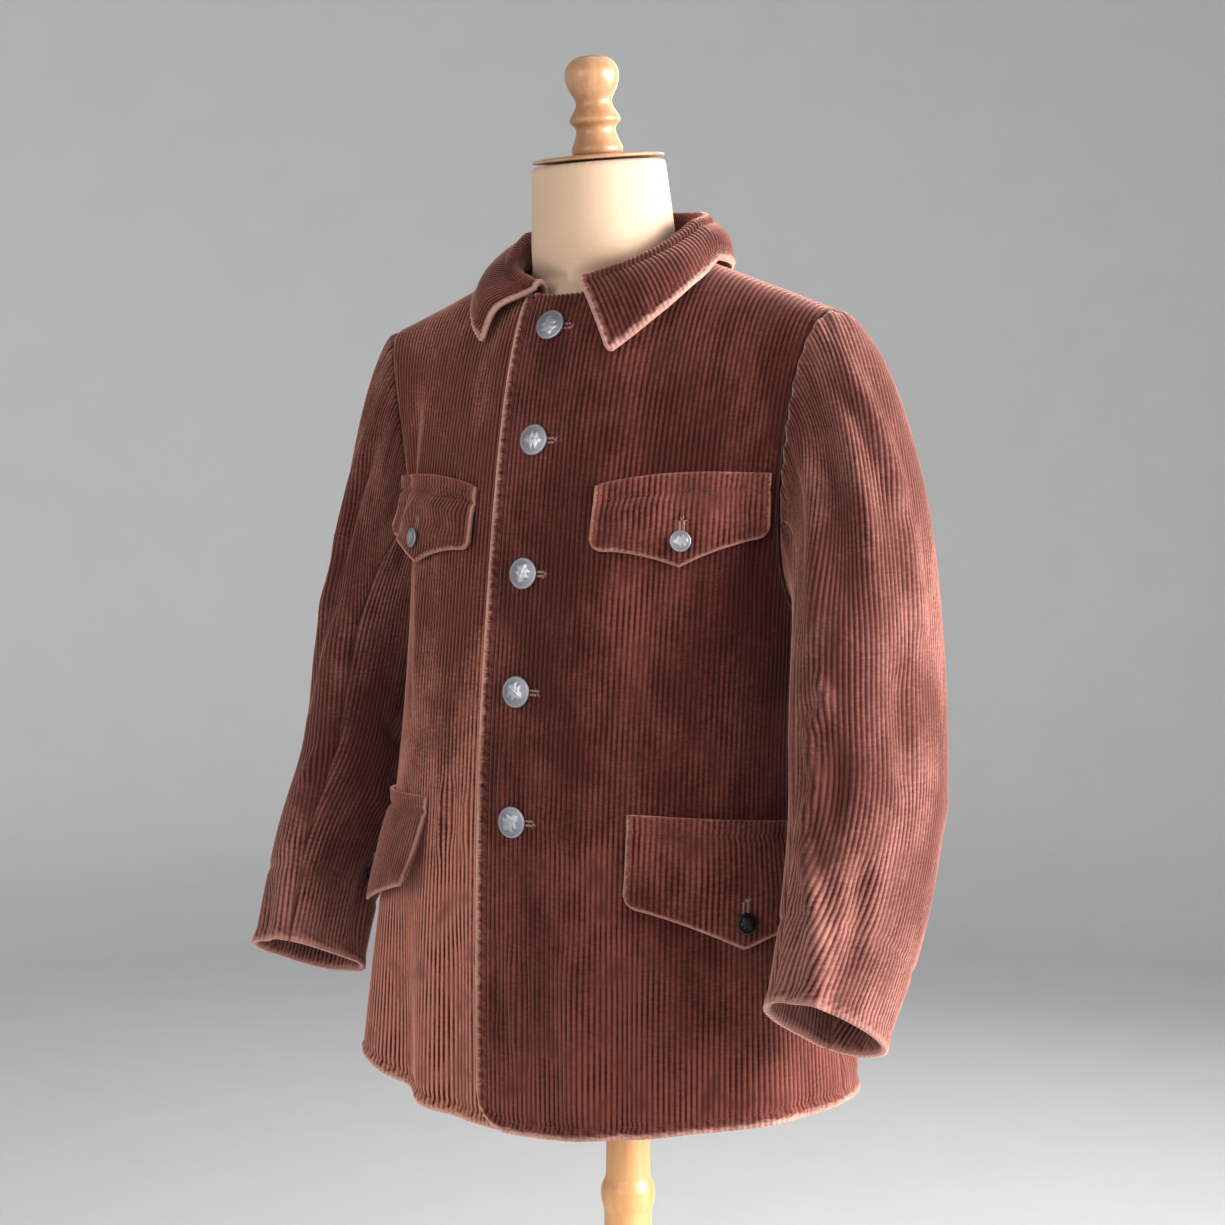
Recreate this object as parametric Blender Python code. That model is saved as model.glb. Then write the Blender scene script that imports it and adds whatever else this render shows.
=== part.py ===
"""Corduroy sack jacket, buttoned up on a limbless dress form with a turned wooden stand."""
import math
from collections import namedtuple

import bmesh
import bpy
from mathutils import Matrix, Vector

for old in list(bpy.data.objects):
    bpy.data.objects.remove(old, do_unlink=True)

# Cloth and seams, in metres. The jacket faces -Y and the wearer's left is +X.
WALL = 0.0026
SEAM = 0.0003
EDGE_PAST_CENTRE = 0.036
LAP_LIFT = WALL + 0.0009
HEM_CORNER = 0.030

# Heights of the cut above the floor
HEM_Z = 0.742
HEM_SIDE_RISE = 0.026
HEM_SIDE_AT = 0.260
ARMPIT_Z = 1.140
RIGHT_HEM_RISE = 0.020

# One row for each level section of the body, from the hem up to the armpit
BodyRing = namedtuple("BodyRing", "z half_width front back side_y squareness")
BODY_RINGS = (
    BodyRing(0.740, 0.224, 0.166, 0.084, -0.030, 2.50),
    BodyRing(0.860, 0.204, 0.167, 0.085, -0.022, 2.50),
    BodyRing(0.980, 0.190, 0.165, 0.088, -0.016, 2.45),
    BodyRing(1.070, 0.183, 0.160, 0.093, -0.018, 2.35),
    BodyRing(1.140, 0.179, 0.153, 0.098, -0.022, 2.30),
)

# Largest folds of the fronts, deepest at the hem: side, distance from the centre line, half width,
# the heights between which each dies away, and how far it stands out or sinks
FoldRow = namedtuple("FoldRow", "side along half_width low high depth")
FOLDS = (
    FoldRow(-1, 0.092, 0.028, 0.70, 1.02, 0.006),
    FoldRow(-1, 0.134, 0.034, 0.70, 1.04, -0.012),
    FoldRow(+1, 0.150, 0.040, 0.70, 0.88, -0.005),
    FoldRow(+1, 0.212, 0.038, 0.70, 0.90, 0.006),
)

# Neck edge and shoulder seam
NECK_HALF_WIDTH = 0.078
NECK_POINT_Y = -0.030
NECK_POINT_Z = 1.437
NECK_FRONT_Y = -0.099
NECK_FRONT_Z = 1.402
NECK_BACK_Y = 0.038
NECK_BACK_Z = 1.446
SHOULDER_TIP_X = 0.2107
SHOULDER_TIP_Y = -0.034
SHOULDER_TIP_Z = 1.386

# How the upper panels rise from the armpit level and turn in to the shoulder
FRONT_LIFT = 0.110
FRONT_REACH = 0.062
FRONT_NECK_ANGLE = math.radians(62)
BACK_LIFT = 0.140
BACK_REACH = 0.075
BACK_NECK_ANGLE = math.radians(55)

# Armhole edge: share of the way from armpit to shoulder, and distance from the centre line
ArmholeRow = namedtuple("ArmholeRow", "share front back")
ARMHOLE_ROWS = (
    ArmholeRow(0.08, 0.222, 0.215),
    ArmholeRow(0.22, 0.208, 0.204),
    ArmholeRow(0.50, 0.203, 0.202),
    ArmholeRow(0.78, 0.206, 0.206),
    ArmholeRow(1.00, SHOULDER_TIP_X, SHOULDER_TIP_X),
)

# One row for each section of a hanging sleeve, from under the arm to the cuff
SleeveRing = namedtuple("SleeveRing", "x y z thick wide plumb")
LEFT_SLEEVE = (
    SleeveRing(0.242, -0.047, 1.100, 0.054, 0.082, 0.0),
    SleeveRing(0.250, -0.064, 1.010, 0.055, 0.082, 0.0),
    SleeveRing(0.256, -0.100, 0.930, 0.051, 0.074, 0.0),
    SleeveRing(0.256, -0.144, 0.854, 0.042, 0.058, 0.0),
)
RIGHT_SLEEVE = (
    SleeveRing(0.230, -0.036, 1.100, 0.044, 0.079, 0.0),
    SleeveRing(0.236, -0.056, 1.010, 0.042, 0.073, 0.0),
    SleeveRing(0.242, -0.096, 0.930, 0.037, 0.064, 0.1),
    SleeveRing(0.231, -0.138, 0.853, 0.037, 0.058, 0.22),
)
INNER_FLATNESS = 0.80
SLEEVE_SQUARENESS = 2.2
SLEEVE_SEAM_ANGLE = math.radians(118)
LEFT_CAP_REACH = 0.150
RIGHT_CAP_REACH = 0.115
UNDERARM_REACH = 0.030
CAP_SHARE = 0.42

# Collar: angle round the neck from the front, stand height, and where the fall's edge lies
CollarRow = namedtuple("CollarRow", "angle stand out drop slide")
COLLAR_ROWS = (
    CollarRow(15, 0.0045, 0.0290, 0.052, 0.030),
    CollarRow(45, 0.010, 0.0350, 0.027, 0.018),
    CollarRow(66, 0.0145, 0.0355, 0.0125, 0.008),
    CollarRow(90, 0.020, 0.030, 0.004, 0.000),
    CollarRow(135, 0.026, 0.033, 0.013, 0.000),
    CollarRow(180, 0.029, 0.036, 0.020, 0.000),
)
COLLAR_WALL = 0.0034
COLLAR_LEFT_BEGIN = math.radians(15)
COLLAR_RIGHT_BEGIN = math.radians(29)
COLLAR_ROLL = 0.0052
COLLAR_TUCK = 0.0022

# Pocket flaps: distance of the front end from the centre line, top height, width, rise, depths
FlapSize = namedtuple("FlapSize", "start top width rise side tip curve")
CHEST_FLAP = FlapSize(0.057, 1.249, 0.137, 0.012, 0.050, 0.067, 1.9)
HIP_FLAP = FlapSize(0.096, 1.000, 0.180, -0.012, 0.070, 0.096, 1.5)
FLAP_WALL = 0.0030
FLAP_OFF = 0.0009
FLAP_CORNER = 0.010

# How far each flap swings off the cloth below its front end, its tip and its back end
FlapSwing = namedtuple("FlapSwing", "front tip back")
CHEST_SWING = {+1: FlapSwing(0.002, 0.001, 0.003), -1: FlapSwing(0.002, 0.004, 0.012)}
HIP_SWING = {+1: FlapSwing(0.003, 0.002, 0.003), -1: FlapSwing(0.018, 0.007, 0.004)}

# Buttons
BUTTON_HEIGHTS = (1.376, 1.286, 1.182, 1.090, 0.989)
FRONT_BUTTON_RADIUS = 0.0125
FLAP_BUTTON_RADIUS = 0.0083

# Dress form: level sections of the padded bust and its neck, from the bottom up
FormRing = namedtuple("FormRing", "z half_width front back mid_y squareness")
FORM_RINGS = (
    FormRing(0.850, 0.120, 0.085, 0.030, -0.030, 2.2),
    FormRing(0.856, 0.132, 0.098, 0.040, -0.030, 2.2),
    FormRing(0.920, 0.150, 0.112, 0.055, -0.030, 2.2),
    FormRing(1.020, 0.146, 0.112, 0.055, -0.030, 2.2),
    FormRing(1.140, 0.158, 0.122, 0.072, -0.030, 2.2),
    FormRing(1.240, 0.164, 0.118, 0.072, -0.032, 2.1),
    FormRing(1.320, 0.164, 0.104, 0.060, -0.033, 1.9),
    FormRing(1.365, 0.164, 0.092, 0.045, -0.034, 1.7),
)
FORM_SHOULDER_X = 0.164
FORM_CLEAR = 0.0006
NECK_TILT = math.radians(8)
NECK_RINGS = (
    FormRing(1.4215, 0.0860, 0.0920, 0.0180, -0.0305, 0.85),
    FormRing(1.430, 0.0615, 0.0930, 0.0215, -0.0360, 2.0),
    FormRing(1.450, 0.0595, 0.0980, 0.0220, -0.0372, 2.0),
    FormRing(1.490, 0.0565, 0.0990, 0.0130, -0.0420, 2.0),
    FormRing(1.516, 0.0548, 0.1010, 0.0080, -0.0466, 2.0),
)

# Turned wood: profiles as radius and height rows, from the bottom up
TurnRow = namedtuple("TurnRow", "radius height")
CAP_PROFILE = (
    TurnRow(0.0540, 0.0000), TurnRow(0.0546, 0.0012), TurnRow(0.0535, 0.0030),
    TurnRow(0.0300, 0.0046),
)
KNOB_PROFILE = (
    TurnRow(0.0205, 0.0000), TurnRow(0.0212, 0.0040), TurnRow(0.0206, 0.0066),
    TurnRow(0.0176, 0.0140), TurnRow(0.0160, 0.0205), TurnRow(0.0190, 0.0246),
    TurnRow(0.0208, 0.0280), TurnRow(0.0180, 0.0325), TurnRow(0.0142, 0.0395),
    TurnRow(0.0152, 0.0445), TurnRow(0.0205, 0.0525), TurnRow(0.0224, 0.0612),
    TurnRow(0.0212, 0.0690), TurnRow(0.0160, 0.0752), TurnRow(0.0080, 0.0780),
)
POLE_PROFILE = (
    TurnRow(0.0400, 0.0303), TurnRow(0.0420, 0.0360), TurnRow(0.0400, 0.0430),
    TurnRow(0.0300, 0.0520), TurnRow(0.0240, 0.0800), TurnRow(0.0215, 0.2000),
    TurnRow(0.0200, 0.6360), TurnRow(0.0225, 0.6440), TurnRow(0.0236, 0.6510),
    TurnRow(0.0225, 0.6580), TurnRow(0.0188, 0.6640), TurnRow(0.0186, 0.8497),
)
BASE_PROFILE = (
    TurnRow(0.1850, 0.0000), TurnRow(0.1900, 0.0040), TurnRow(0.1900, 0.0130),
    TurnRow(0.1840, 0.0190), TurnRow(0.0700, 0.0270), TurnRow(0.0520, 0.0300),
)
TURN_SEGMENTS = 24


def material(name, colour, roughness, metallic=0.0):
    made = bpy.data.materials.new(name)
    made.use_nodes = True
    shader = made.node_tree.nodes["Principled BSDF"]
    shader.inputs["Base Color"].default_value = (*colour, 1.0)
    shader.inputs["Roughness"].default_value = roughness
    shader.inputs["Metallic"].default_value = metallic
    return made


CORD_COLOUR = (0.105, 0.043, 0.033)
PEWTER_COLOUR = (0.25, 0.25, 0.27)
LINEN_COLOUR = (0.83, 0.68, 0.50)
WOOD_COLOUR = (0.58, 0.31, 0.13)


def mirrored(v):
    return Vector((-v.x, v.y, v.z))


def smooth(x):
    x = max(0.0, min(1.0, x))
    return x * x * (3.0 - 2.0 * x)


def interpolate(rows, at):
    """A row of the same kind at a place between the table's rows, along smooth curves."""
    keys = [row[0] for row in rows]
    place = max(keys[0], min(keys[-1], at))
    k = 0
    while k < len(rows) - 2 and place > keys[k + 1]:
        k += 1
    span = keys[k + 1] - keys[k]
    t = (place - keys[k]) / span
    values = []
    for column in range(len(rows[0])):
        points = [row[column] for row in rows]
        slope_in = (points[k + 1] - points[k]) / span
        slope_out = slope_in
        if k > 0:
            slope_in = (points[k + 1] - points[k - 1]) / (keys[k + 1] - keys[k - 1])
        if k + 2 < len(rows):
            slope_out = (points[k + 2] - points[k]) / (keys[k + 2] - keys[k])
        a = 2 * t ** 3 - 3 * t ** 2 + 1
        b = t ** 3 - 2 * t ** 2 + t
        c = 3 * t ** 2 - 2 * t ** 3
        d = t ** 3 - t ** 2
        values.append(a * points[k] + b * span * slope_in + c * points[k + 1] + d * span * slope_out)
    return type(rows[0])(*values)


def ring_point(row, angle, z):
    """A point of a level section; the angle runs from the centre front to the centre back."""
    power = 2.0 / row.squareness
    across = row.half_width * max(math.sin(angle), 0.0) ** power
    along = abs(math.cos(angle)) ** power
    if angle <= math.pi / 2:
        return Vector((across, row.side_y - (row.front + row.side_y) * along, z))
    return Vector((across, row.side_y + (row.back - row.side_y) * along, z))


RING_STEPS = 60
ring_cache = {}


def half_ring(z, is_front):
    """Points and lengths of a quarter of a section, from the centre line to the side seam."""
    key = (round(z, 6), is_front)
    if key not in ring_cache:
        row = interpolate(BODY_RINGS, z)
        points = []
        for step in range(RING_STEPS + 1):
            turn = 0.5 * math.pi * step / RING_STEPS
            points.append(ring_point(row, turn if is_front else math.pi - turn, z))
        lengths = [0.0]
        for a, b in zip(points, points[1:]):
            lengths.append(lengths[-1] + (b - a).length)
        ring_cache[key] = (points, lengths)
    return ring_cache[key]


def ring_at(z, along, is_front):
    points, lengths = half_ring(z, is_front)
    for k in range(RING_STEPS):
        if along <= lengths[k + 1] or k == RING_STEPS - 1:
            t = (along - lengths[k]) / (lengths[k + 1] - lengths[k])
            return points[k].lerp(points[k + 1], t)


def side_length(z, is_front):
    return half_ring(z, is_front)[1][-1]


def top_edge(along, is_front):
    """Neck edge up to the neck point, then the shoulder seam, and how steep the panel meets it."""
    if along < NECK_HALF_WIDTH:
        ease = math.sqrt(1.0 - (along / NECK_HALF_WIDTH) ** 2)
        end_y = NECK_FRONT_Y if is_front else NECK_BACK_Y
        end_z = NECK_FRONT_Z if is_front else NECK_BACK_Z
        y = NECK_POINT_Y + (end_y - NECK_POINT_Y) * ease
        z = NECK_POINT_Z + (end_z - NECK_POINT_Z) * ease
        angle = (FRONT_NECK_ANGLE if is_front else BACK_NECK_ANGLE) * ease
        return Vector((along, y, z)), angle
    share = (along - NECK_HALF_WIDTH) / (SHOULDER_TIP_X - NECK_HALF_WIDTH)
    y = NECK_POINT_Y + (SHOULDER_TIP_Y - NECK_POINT_Y) * share
    z = NECK_POINT_Z + (SHOULDER_TIP_Z - NECK_POINT_Z) * share
    return Vector((along, y, z)), 0.0


def skirt_height(along, level, is_front):
    """Height below the armpit: the hem is lowest at the front and rises towards the side."""
    rise = HEM_SIDE_RISE * smooth(along / HEM_SIDE_AT) if is_front else HEM_SIDE_RISE
    hem = HEM_Z + rise
    return hem + (ARMPIT_Z - hem) * level


def body_point(along, level, is_front):
    """Body surface on the wearer's left. Level 0 is the hem, 1 the armpit, 2 the top edge."""
    if level <= 1.0:
        return ring_at(skirt_height(along, level, is_front), along, is_front)
    start = ring_at(ARMPIT_Z, along, is_front)
    below = ring_at(ARMPIT_Z - 0.02, along, is_front)
    slope = (start - below) / 0.02
    end, angle = top_edge(along, is_front)
    lift = FRONT_LIFT if is_front else BACK_LIFT
    reach = FRONT_REACH if is_front else BACK_REACH
    forward = 1.0 if is_front else -1.0
    near_start = start + slope * lift
    near_end = end - Vector((0.0, forward * math.cos(angle), math.sin(angle))) * reach
    t = level - 1.0
    s = 1.0 - t
    return s ** 3 * start + 3 * s * s * t * near_start + 3 * s * t * t * near_end + t ** 3 * end


def edge_along(level, is_front):
    """Distance of the side seam, the armhole or the shoulder end from the centre line."""
    if level <= 1.0:
        return side_length(skirt_height(HEM_SIDE_AT, level, is_front), is_front) - SEAM / 2
    first = ArmholeRow(0.0, side_length(ARMPIT_Z, True), side_length(ARMPIT_Z, False))
    row = interpolate((first,) + ARMHOLE_ROWS, level - 1.0)
    return (row.front if is_front else row.back) - SEAM / 2


def body_normal(along, level, is_front):
    step = 0.0015
    a = max(along, 0.0)
    across = body_point(a + step, level, is_front) - body_point(max(a - step, 0.0), level, is_front)
    low = max(level - 0.006, 0.0)
    high = min(level + 0.006, 2.0)
    up = body_point(a, high, is_front) - body_point(a, low, is_front)
    out = across.cross(up)
    if not is_front:
        out = -out
    return out.normalized()


def fold_depth(along, z, side):
    total = 0.0
    for fold in FOLDS:
        if fold.side == side:
            across = 1.0 - smooth(abs(along - fold.along) / fold.half_width)
            total += fold.depth * across * (1.0 - smooth((z - fold.low) / (fold.high - fold.low)))
    return total


def right_rise(along, level, is_front):
    """How much higher the wearer's right side hangs: most at the hem, next to the side seam."""
    if level >= 1.0:
        return 0.0
    share = along / edge_along(level, is_front)
    return RIGHT_HEM_RISE * smooth((share - 0.4) / 0.6) * (1.0 - level) ** 2


def front_surface(along, level, side):
    """A front's outer point and outward direction; side is +1 for the lapping left front."""
    point = body_point(abs(along), level, True)
    normal = body_normal(abs(along), level, True)
    point = point + normal * fold_depth(along, point.z, side)
    if side < 0:
        point.z += right_rise(along, level, True)
    if along < 0.0:
        point = mirrored(point)
        normal = mirrored(normal)
    if side > 0:
        point = point + normal * LAP_LIFT * (1.0 - smooth((along - 0.045) / 0.05))
        return point, normal
    return mirrored(point), mirrored(normal)


def cloth_wall(name, columns, rows, surface, colour, wall, roughness=0.9):
    """A thin closed wall: a grid laid on the surface, and its copy one wall further in."""
    mesh = bmesh.new()
    bmesh.ops.create_grid(mesh, x_segments=columns, y_segments=rows, size=0.5)
    grid = mesh.verts[:]
    inside = bmesh.ops.extrude_face_region(mesh, geom=mesh.faces[:], use_keep_orig=True)
    inner = [v for v in inside["geom"] if isinstance(v, bmesh.types.BMVert)]
    for verts, depth in ((grid, 0.0), (inner, wall)):
        for v in verts:
            point, normal = surface(v.co.x + 0.5, v.co.y + 0.5)
            v.co = point - normal * depth
    bmesh.ops.remove_doubles(mesh, verts=mesh.verts[:], dist=0.00001)
    bmesh.ops.recalc_face_normals(mesh, faces=mesh.faces[:])
    data = bpy.data.meshes.new(name)
    mesh.to_mesh(data)
    mesh.free()
    data.shade_smooth()
    made = bpy.data.objects.new(name, data)
    made.data.materials.append(material(name, colour, roughness))
    bpy.context.scene.collection.objects.link(made)
    return made


# Rows of the panels: evenly up the skirt, closer over the chest and shoulder
PANEL_LEVELS = (
    0.0, 0.1, 0.24, 0.4, 0.56, 0.72, 0.86, 1.0,
    1.08, 1.2, 1.36, 1.52, 1.66, 1.78, 1.88, 1.95, 2.0,
)


def level_at(share):
    k = min(int(share * (len(PANEL_LEVELS) - 1)), len(PANEL_LEVELS) - 2)
    t = share * (len(PANEL_LEVELS) - 1) - k
    return PANEL_LEVELS[k] + (PANEL_LEVELS[k + 1] - PANEL_LEVELS[k]) * t


def front_panel(side):
    """A front, from its edge past the centre line to the side seam and the armhole."""
    def surface(s, t):
        level = level_at(t)
        begin = -EDGE_PAST_CENTRE
        end = edge_along(level, True)
        along = begin + (end - begin) * s
        from_edge = along - begin
        if level < 0.24 and from_edge < HEM_CORNER:
            shift = HEM_CORNER - math.sqrt(HEM_CORNER ** 2 - (HEM_CORNER - from_edge) ** 2)
            level = level + (1.0 - level / 0.24) * shift / (ARMPIT_Z - HEM_Z)
        return front_surface(along, level, side)
    name = "front_left" if side > 0 else "front_right"
    return cloth_wall(name, 20, len(PANEL_LEVELS) - 1, surface, CORD_COLOUR, WALL)


front_panel(+1)
front_panel(-1)


def back_panel(side):
    """Half of the back, from the centre back seam to the side seam and the armhole."""
    def surface(s, t):
        level = level_at(t)
        end = edge_along(level, False)
        along = SEAM / 2 + (end - SEAM / 2) * s
        point = body_point(along, level, False)
        normal = body_normal(along, level, False)
        if level > 1.9:
            point = point + Vector((0.0, SEAM, 0.0)) * (level - 1.9) / 0.1
        if side > 0:
            return point, normal
        point.z += right_rise(along, level, False)
        return mirrored(point), mirrored(normal)
    name = "back_left" if side > 0 else "back_right"
    return cloth_wall(name, 12, len(PANEL_LEVELS) - 1, surface, CORD_COLOUR, WALL)


back_panel(+1)
back_panel(-1)

# The armhole as a loop from the shoulder tip down the front, under the arm and up the back
ARMHOLE_STEPS = 48
armhole_runs = {}
for is_front in (True, False):
    run = []
    for step in range(ARMHOLE_STEPS + 1):
        level = 2.0 - step / ARMHOLE_STEPS
        run.append(body_point(edge_along(level, is_front) + SEAM / 2, level, is_front))
    lengths = [0.0]
    for a, b in zip(run, run[1:]):
        lengths.append(lengths[-1] + (b - a).length)
    armhole_runs[is_front] = (run, lengths)


def armhole_point(angle):
    """Angle 0 is the shoulder tip, a quarter turn the front, a half turn under the arm."""
    turn = angle % (2 * math.pi)
    is_front = turn <= math.pi
    run, lengths = armhole_runs[is_front]
    share = turn / math.pi if is_front else 2.0 - turn / math.pi
    want = share * lengths[-1]
    for k in range(ARMHOLE_STEPS):
        if want <= lengths[k + 1] or k == ARMHOLE_STEPS - 1:
            return run[k].lerp(run[k + 1], (want - lengths[k]) / (lengths[k + 1] - lengths[k]))


def sleeve_ring(rings, place, angle):
    """A point of the hanging part; place runs from 0 at the first ring to 1 at the cuff."""
    rows = [(k / (len(rings) - 1), *r) for k, r in enumerate(rings)]
    Row = namedtuple("Row", "share x y z thick wide plumb")
    rows = tuple(Row(*r) for r in rows)
    here = interpolate(rows, place)
    before = interpolate(rows, max(place - 0.02, 0.0))
    after = interpolate(rows, min(place + 0.02, 1.0))
    run = Vector((after.x - before.x, after.y - before.y, after.z - before.z)).normalized()
    run = (run + Vector((0.0, 0.0, -here.plumb))).normalized()
    side = Vector((1.0, 0.0, 0.0))
    side = (side - run * side.dot(run)).normalized()
    front = side.cross(run)
    if front.y > 0.0:
        front = -front
    power = 2.0 / SLEEVE_SQUARENESS
    c = math.cos(angle)
    s = math.sin(angle)
    out = here.thick * math.copysign(abs(c) ** power, c)
    if out < 0.0:
        out *= INNER_FLATNESS
    ahead = here.wide * math.copysign(abs(s) ** power, s)
    return Vector((here.x, here.y, here.z)) + side * out + front * ahead, run


def sleeve_point(rings, angle, along, cap_reach):
    """The sleeve on the wearer's left; along runs from the armhole seam to the cuff edge."""
    if along >= CAP_SHARE:
        return sleeve_ring(rings, (along - CAP_SHARE) / (1.0 - CAP_SHARE), angle)[0]
    start = armhole_point(angle)
    high = 0.5 + 0.5 * math.cos(angle)
    start = start + Vector((1.0, 0.0, 1.0 - high)) * 2 * SEAM
    end, run = sleeve_ring(rings, 0.0, angle)
    drop = math.sin(math.atan2(NECK_POINT_Z - SHOULDER_TIP_Z, SHOULDER_TIP_X - NECK_HALF_WIDTH))
    reach = UNDERARM_REACH + (cap_reach - UNDERARM_REACH) * high
    leave = Vector((1.0, 0.0, -drop * high)).normalized() * reach
    arrive = run * (end - start).length * (0.9 + 0.35 * high)
    t = along / CAP_SHARE
    a = 2 * t ** 3 - 3 * t ** 2 + 1
    b = t ** 3 - 2 * t ** 2 + t
    c = 3 * t ** 2 - 2 * t ** 3
    d = t ** 3 - t ** 2
    return a * start + b * leave + c * end + d * arrive


def sleeve_piece(name, rings, mirror, begin, end, columns):
    """A cut piece of a sleeve between two seams."""
    reach = RIGHT_CAP_REACH if mirror else LEFT_CAP_REACH

    def surface(s, t):
        angle = begin + (end - begin) * s
        along = 1.0 - t
        point = sleeve_point(rings, angle, along, reach)
        ahead = sleeve_point(rings, angle + 0.02, along, reach)
        around = ahead - sleeve_point(rings, angle - 0.02, along, reach)
        near = max(along - 0.01, 0.0)
        far = min(along + 0.01, 1.0)
        down = sleeve_point(rings, angle, far, reach) - sleeve_point(rings, angle, near, reach)
        normal = down.cross(around).normalized()
        inset = SEAM * (1.0 - 2.0 * s) if s < 0.001 or s > 0.999 else 0.0
        point = point + around.normalized() * inset
        if mirror:
            return mirrored(point), mirrored(normal)
        return point, normal
    return cloth_wall(name, columns, 14, surface, CORD_COLOUR, WALL)


for label, rings, mirror in (("left", LEFT_SLEEVE, False), ("right", RIGHT_SLEEVE, True)):
    seam = SLEEVE_SEAM_ANGLE
    sleeve_piece(f"sleeve_{label}_top", rings, mirror, -seam, seam, 14)
    sleeve_piece(f"sleeve_{label}_under", rings, mirror, seam, 2 * math.pi - seam, 8)


def neck_edge(angle):
    """The neck edge, its outward direction and its run, on the wearer's left."""
    ease = math.cos(angle)
    end_y = NECK_FRONT_Y if ease > 0 else NECK_BACK_Y
    end_z = NECK_FRONT_Z if ease > 0 else NECK_BACK_Z
    x = NECK_HALF_WIDTH * math.sin(angle)
    y = NECK_POINT_Y + (end_y - NECK_POINT_Y) * abs(ease)
    z = NECK_POINT_Z + (end_z - NECK_POINT_Z) * abs(ease)
    depth = abs(end_y - NECK_POINT_Y)
    out = Vector((math.sin(angle) / NECK_HALF_WIDTH, -ease / depth, 0.0)).normalized()
    run = Vector((-out.y, out.x, 0.0))
    return Vector((x, y, z)), out, run


def collar_section(angle, share, side):
    """A point of the collar: share runs up the stand, over the roll and down the fall."""
    row = interpolate(COLLAR_ROWS, math.degrees(angle))
    base, out, run = neck_edge(angle)
    if side > 0 and angle < math.pi / 2:
        base = base + front_surface(base.x, 2.0, side)[0] - body_point(base.x, 2.0, True)
    elif side < 0:
        base = base - out * COLLAR_TUCK * (1.0 - smooth((angle - COLLAR_RIGHT_BEGIN) / 0.2))
    lean = -min(0.002, 0.2 * row.stand)
    if share < 0.3:
        t = share / 0.3
        flat = Vector((lean * t, 0.0, 0.0008 + row.stand * t))
    elif share < 0.5:
        turn = math.pi * (share - 0.3) / 0.2
        centre = lean + COLLAR_ROLL
        flat = Vector((centre - COLLAR_ROLL * math.cos(turn), 0.0,
                       0.0008 + row.stand + COLLAR_ROLL * math.sin(turn)))
    else:
        t = (share - 0.5) / 0.5
        start = Vector((lean + 2 * COLLAR_ROLL, 0.0, 0.0008 + row.stand))
        end = Vector((row.out, row.slide, -row.drop))
        flat = start.lerp(end, t) + Vector((0.004, 0.0, 0.006)) * math.sin(math.pi * t)
    return base + out * flat.x + run * flat.y + Vector((0.0, 0.0, flat.z))


def collar_right_begin(share):
    """Where the right end starts: near the centre on the roll, past the left front's edge below."""
    below = smooth((share - 0.48) / 0.11)
    return COLLAR_LEFT_BEGIN + (COLLAR_RIGHT_BEGIN - COLLAR_LEFT_BEGIN) * below


def collar_surface(s, t):
    turn = COLLAR_LEFT_BEGIN + (2 * math.pi - collar_right_begin(t) - COLLAR_LEFT_BEGIN) * s
    flip = turn > math.pi
    side = -1 if flip else +1
    angle = 2 * math.pi - turn if flip else turn
    begin = COLLAR_LEFT_BEGIN
    point = collar_section(angle, t, side)
    low = max(t - 0.01, 0.0)
    high = min(t + 0.01, 1.0)
    down = collar_section(angle, high, side) - collar_section(angle, low, side)
    less = max(angle - 0.02, begin)
    more = min(angle + 0.02, math.pi)
    around = collar_section(more, t, side) - collar_section(less, t, side)
    normal = around.cross(down).normalized()
    point = point + normal * COLLAR_WALL / 2
    if flip:
        return mirrored(point), mirrored(normal)
    return point, normal


cloth_wall("collar", 30, 10, collar_surface, CORD_COLOUR, COLLAR_WALL)


def level_of(z, along):
    """The level of a front whose point at this distance from the centre lies at height z."""
    low = 0.0
    high = 2.0
    for step in range(40):
        middle = (low + high) / 2
        if body_point(along, middle, True).z < z:
            low = middle
        else:
            high = middle
    return (low + high) / 2


def flap_depth(size, share):
    """Depth of a flap below its top edge: rounded corners, then a dip to the middle tip."""
    from_end = min(share, 1.0 - share)
    dip = (2.0 * from_end) ** size.curve
    depth = size.side + (size.tip - size.side) * dip
    gap = from_end * size.width
    if gap < FLAP_CORNER:
        depth -= FLAP_CORNER - math.sqrt(FLAP_CORNER ** 2 - (FLAP_CORNER - gap) ** 2)
    return depth


def flap_point(size, side, share, down, lift):
    along = size.start + size.width * share
    z = size.top + size.rise * share - flap_depth(size, share) * down
    return flap_lift(along, z, side, lift)


def flap_lift(along, z, side, lift):
    point, normal = front_surface(along, level_of(z, along), side)
    return point + normal * lift, normal


def flap_out(swing, share, down):
    """Distance of a flap's outer face from the cloth under it."""
    ends = swing.front if share < 0.5 else swing.back
    free = ends + (swing.tip - ends) * 2.0 * min(share, 1.0 - share)
    return FLAP_OFF + FLAP_WALL + 0.0012 * down + free * down * down


def pocket_flap(name, size, swing, side):
    def surface(s, t):
        return flap_point(size, side, s, 1.0 - t, flap_out(swing, s, 1.0 - t))
    return cloth_wall(name, 14, 6, surface, CORD_COLOUR, FLAP_WALL)


for label, side in (("left", +1), ("right", -1)):
    pocket_flap(f"chest_flap_{label}", CHEST_FLAP, CHEST_SWING[side], side)
    pocket_flap(f"hip_flap_{label}", HIP_FLAP, HIP_SWING[side], side)


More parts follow.
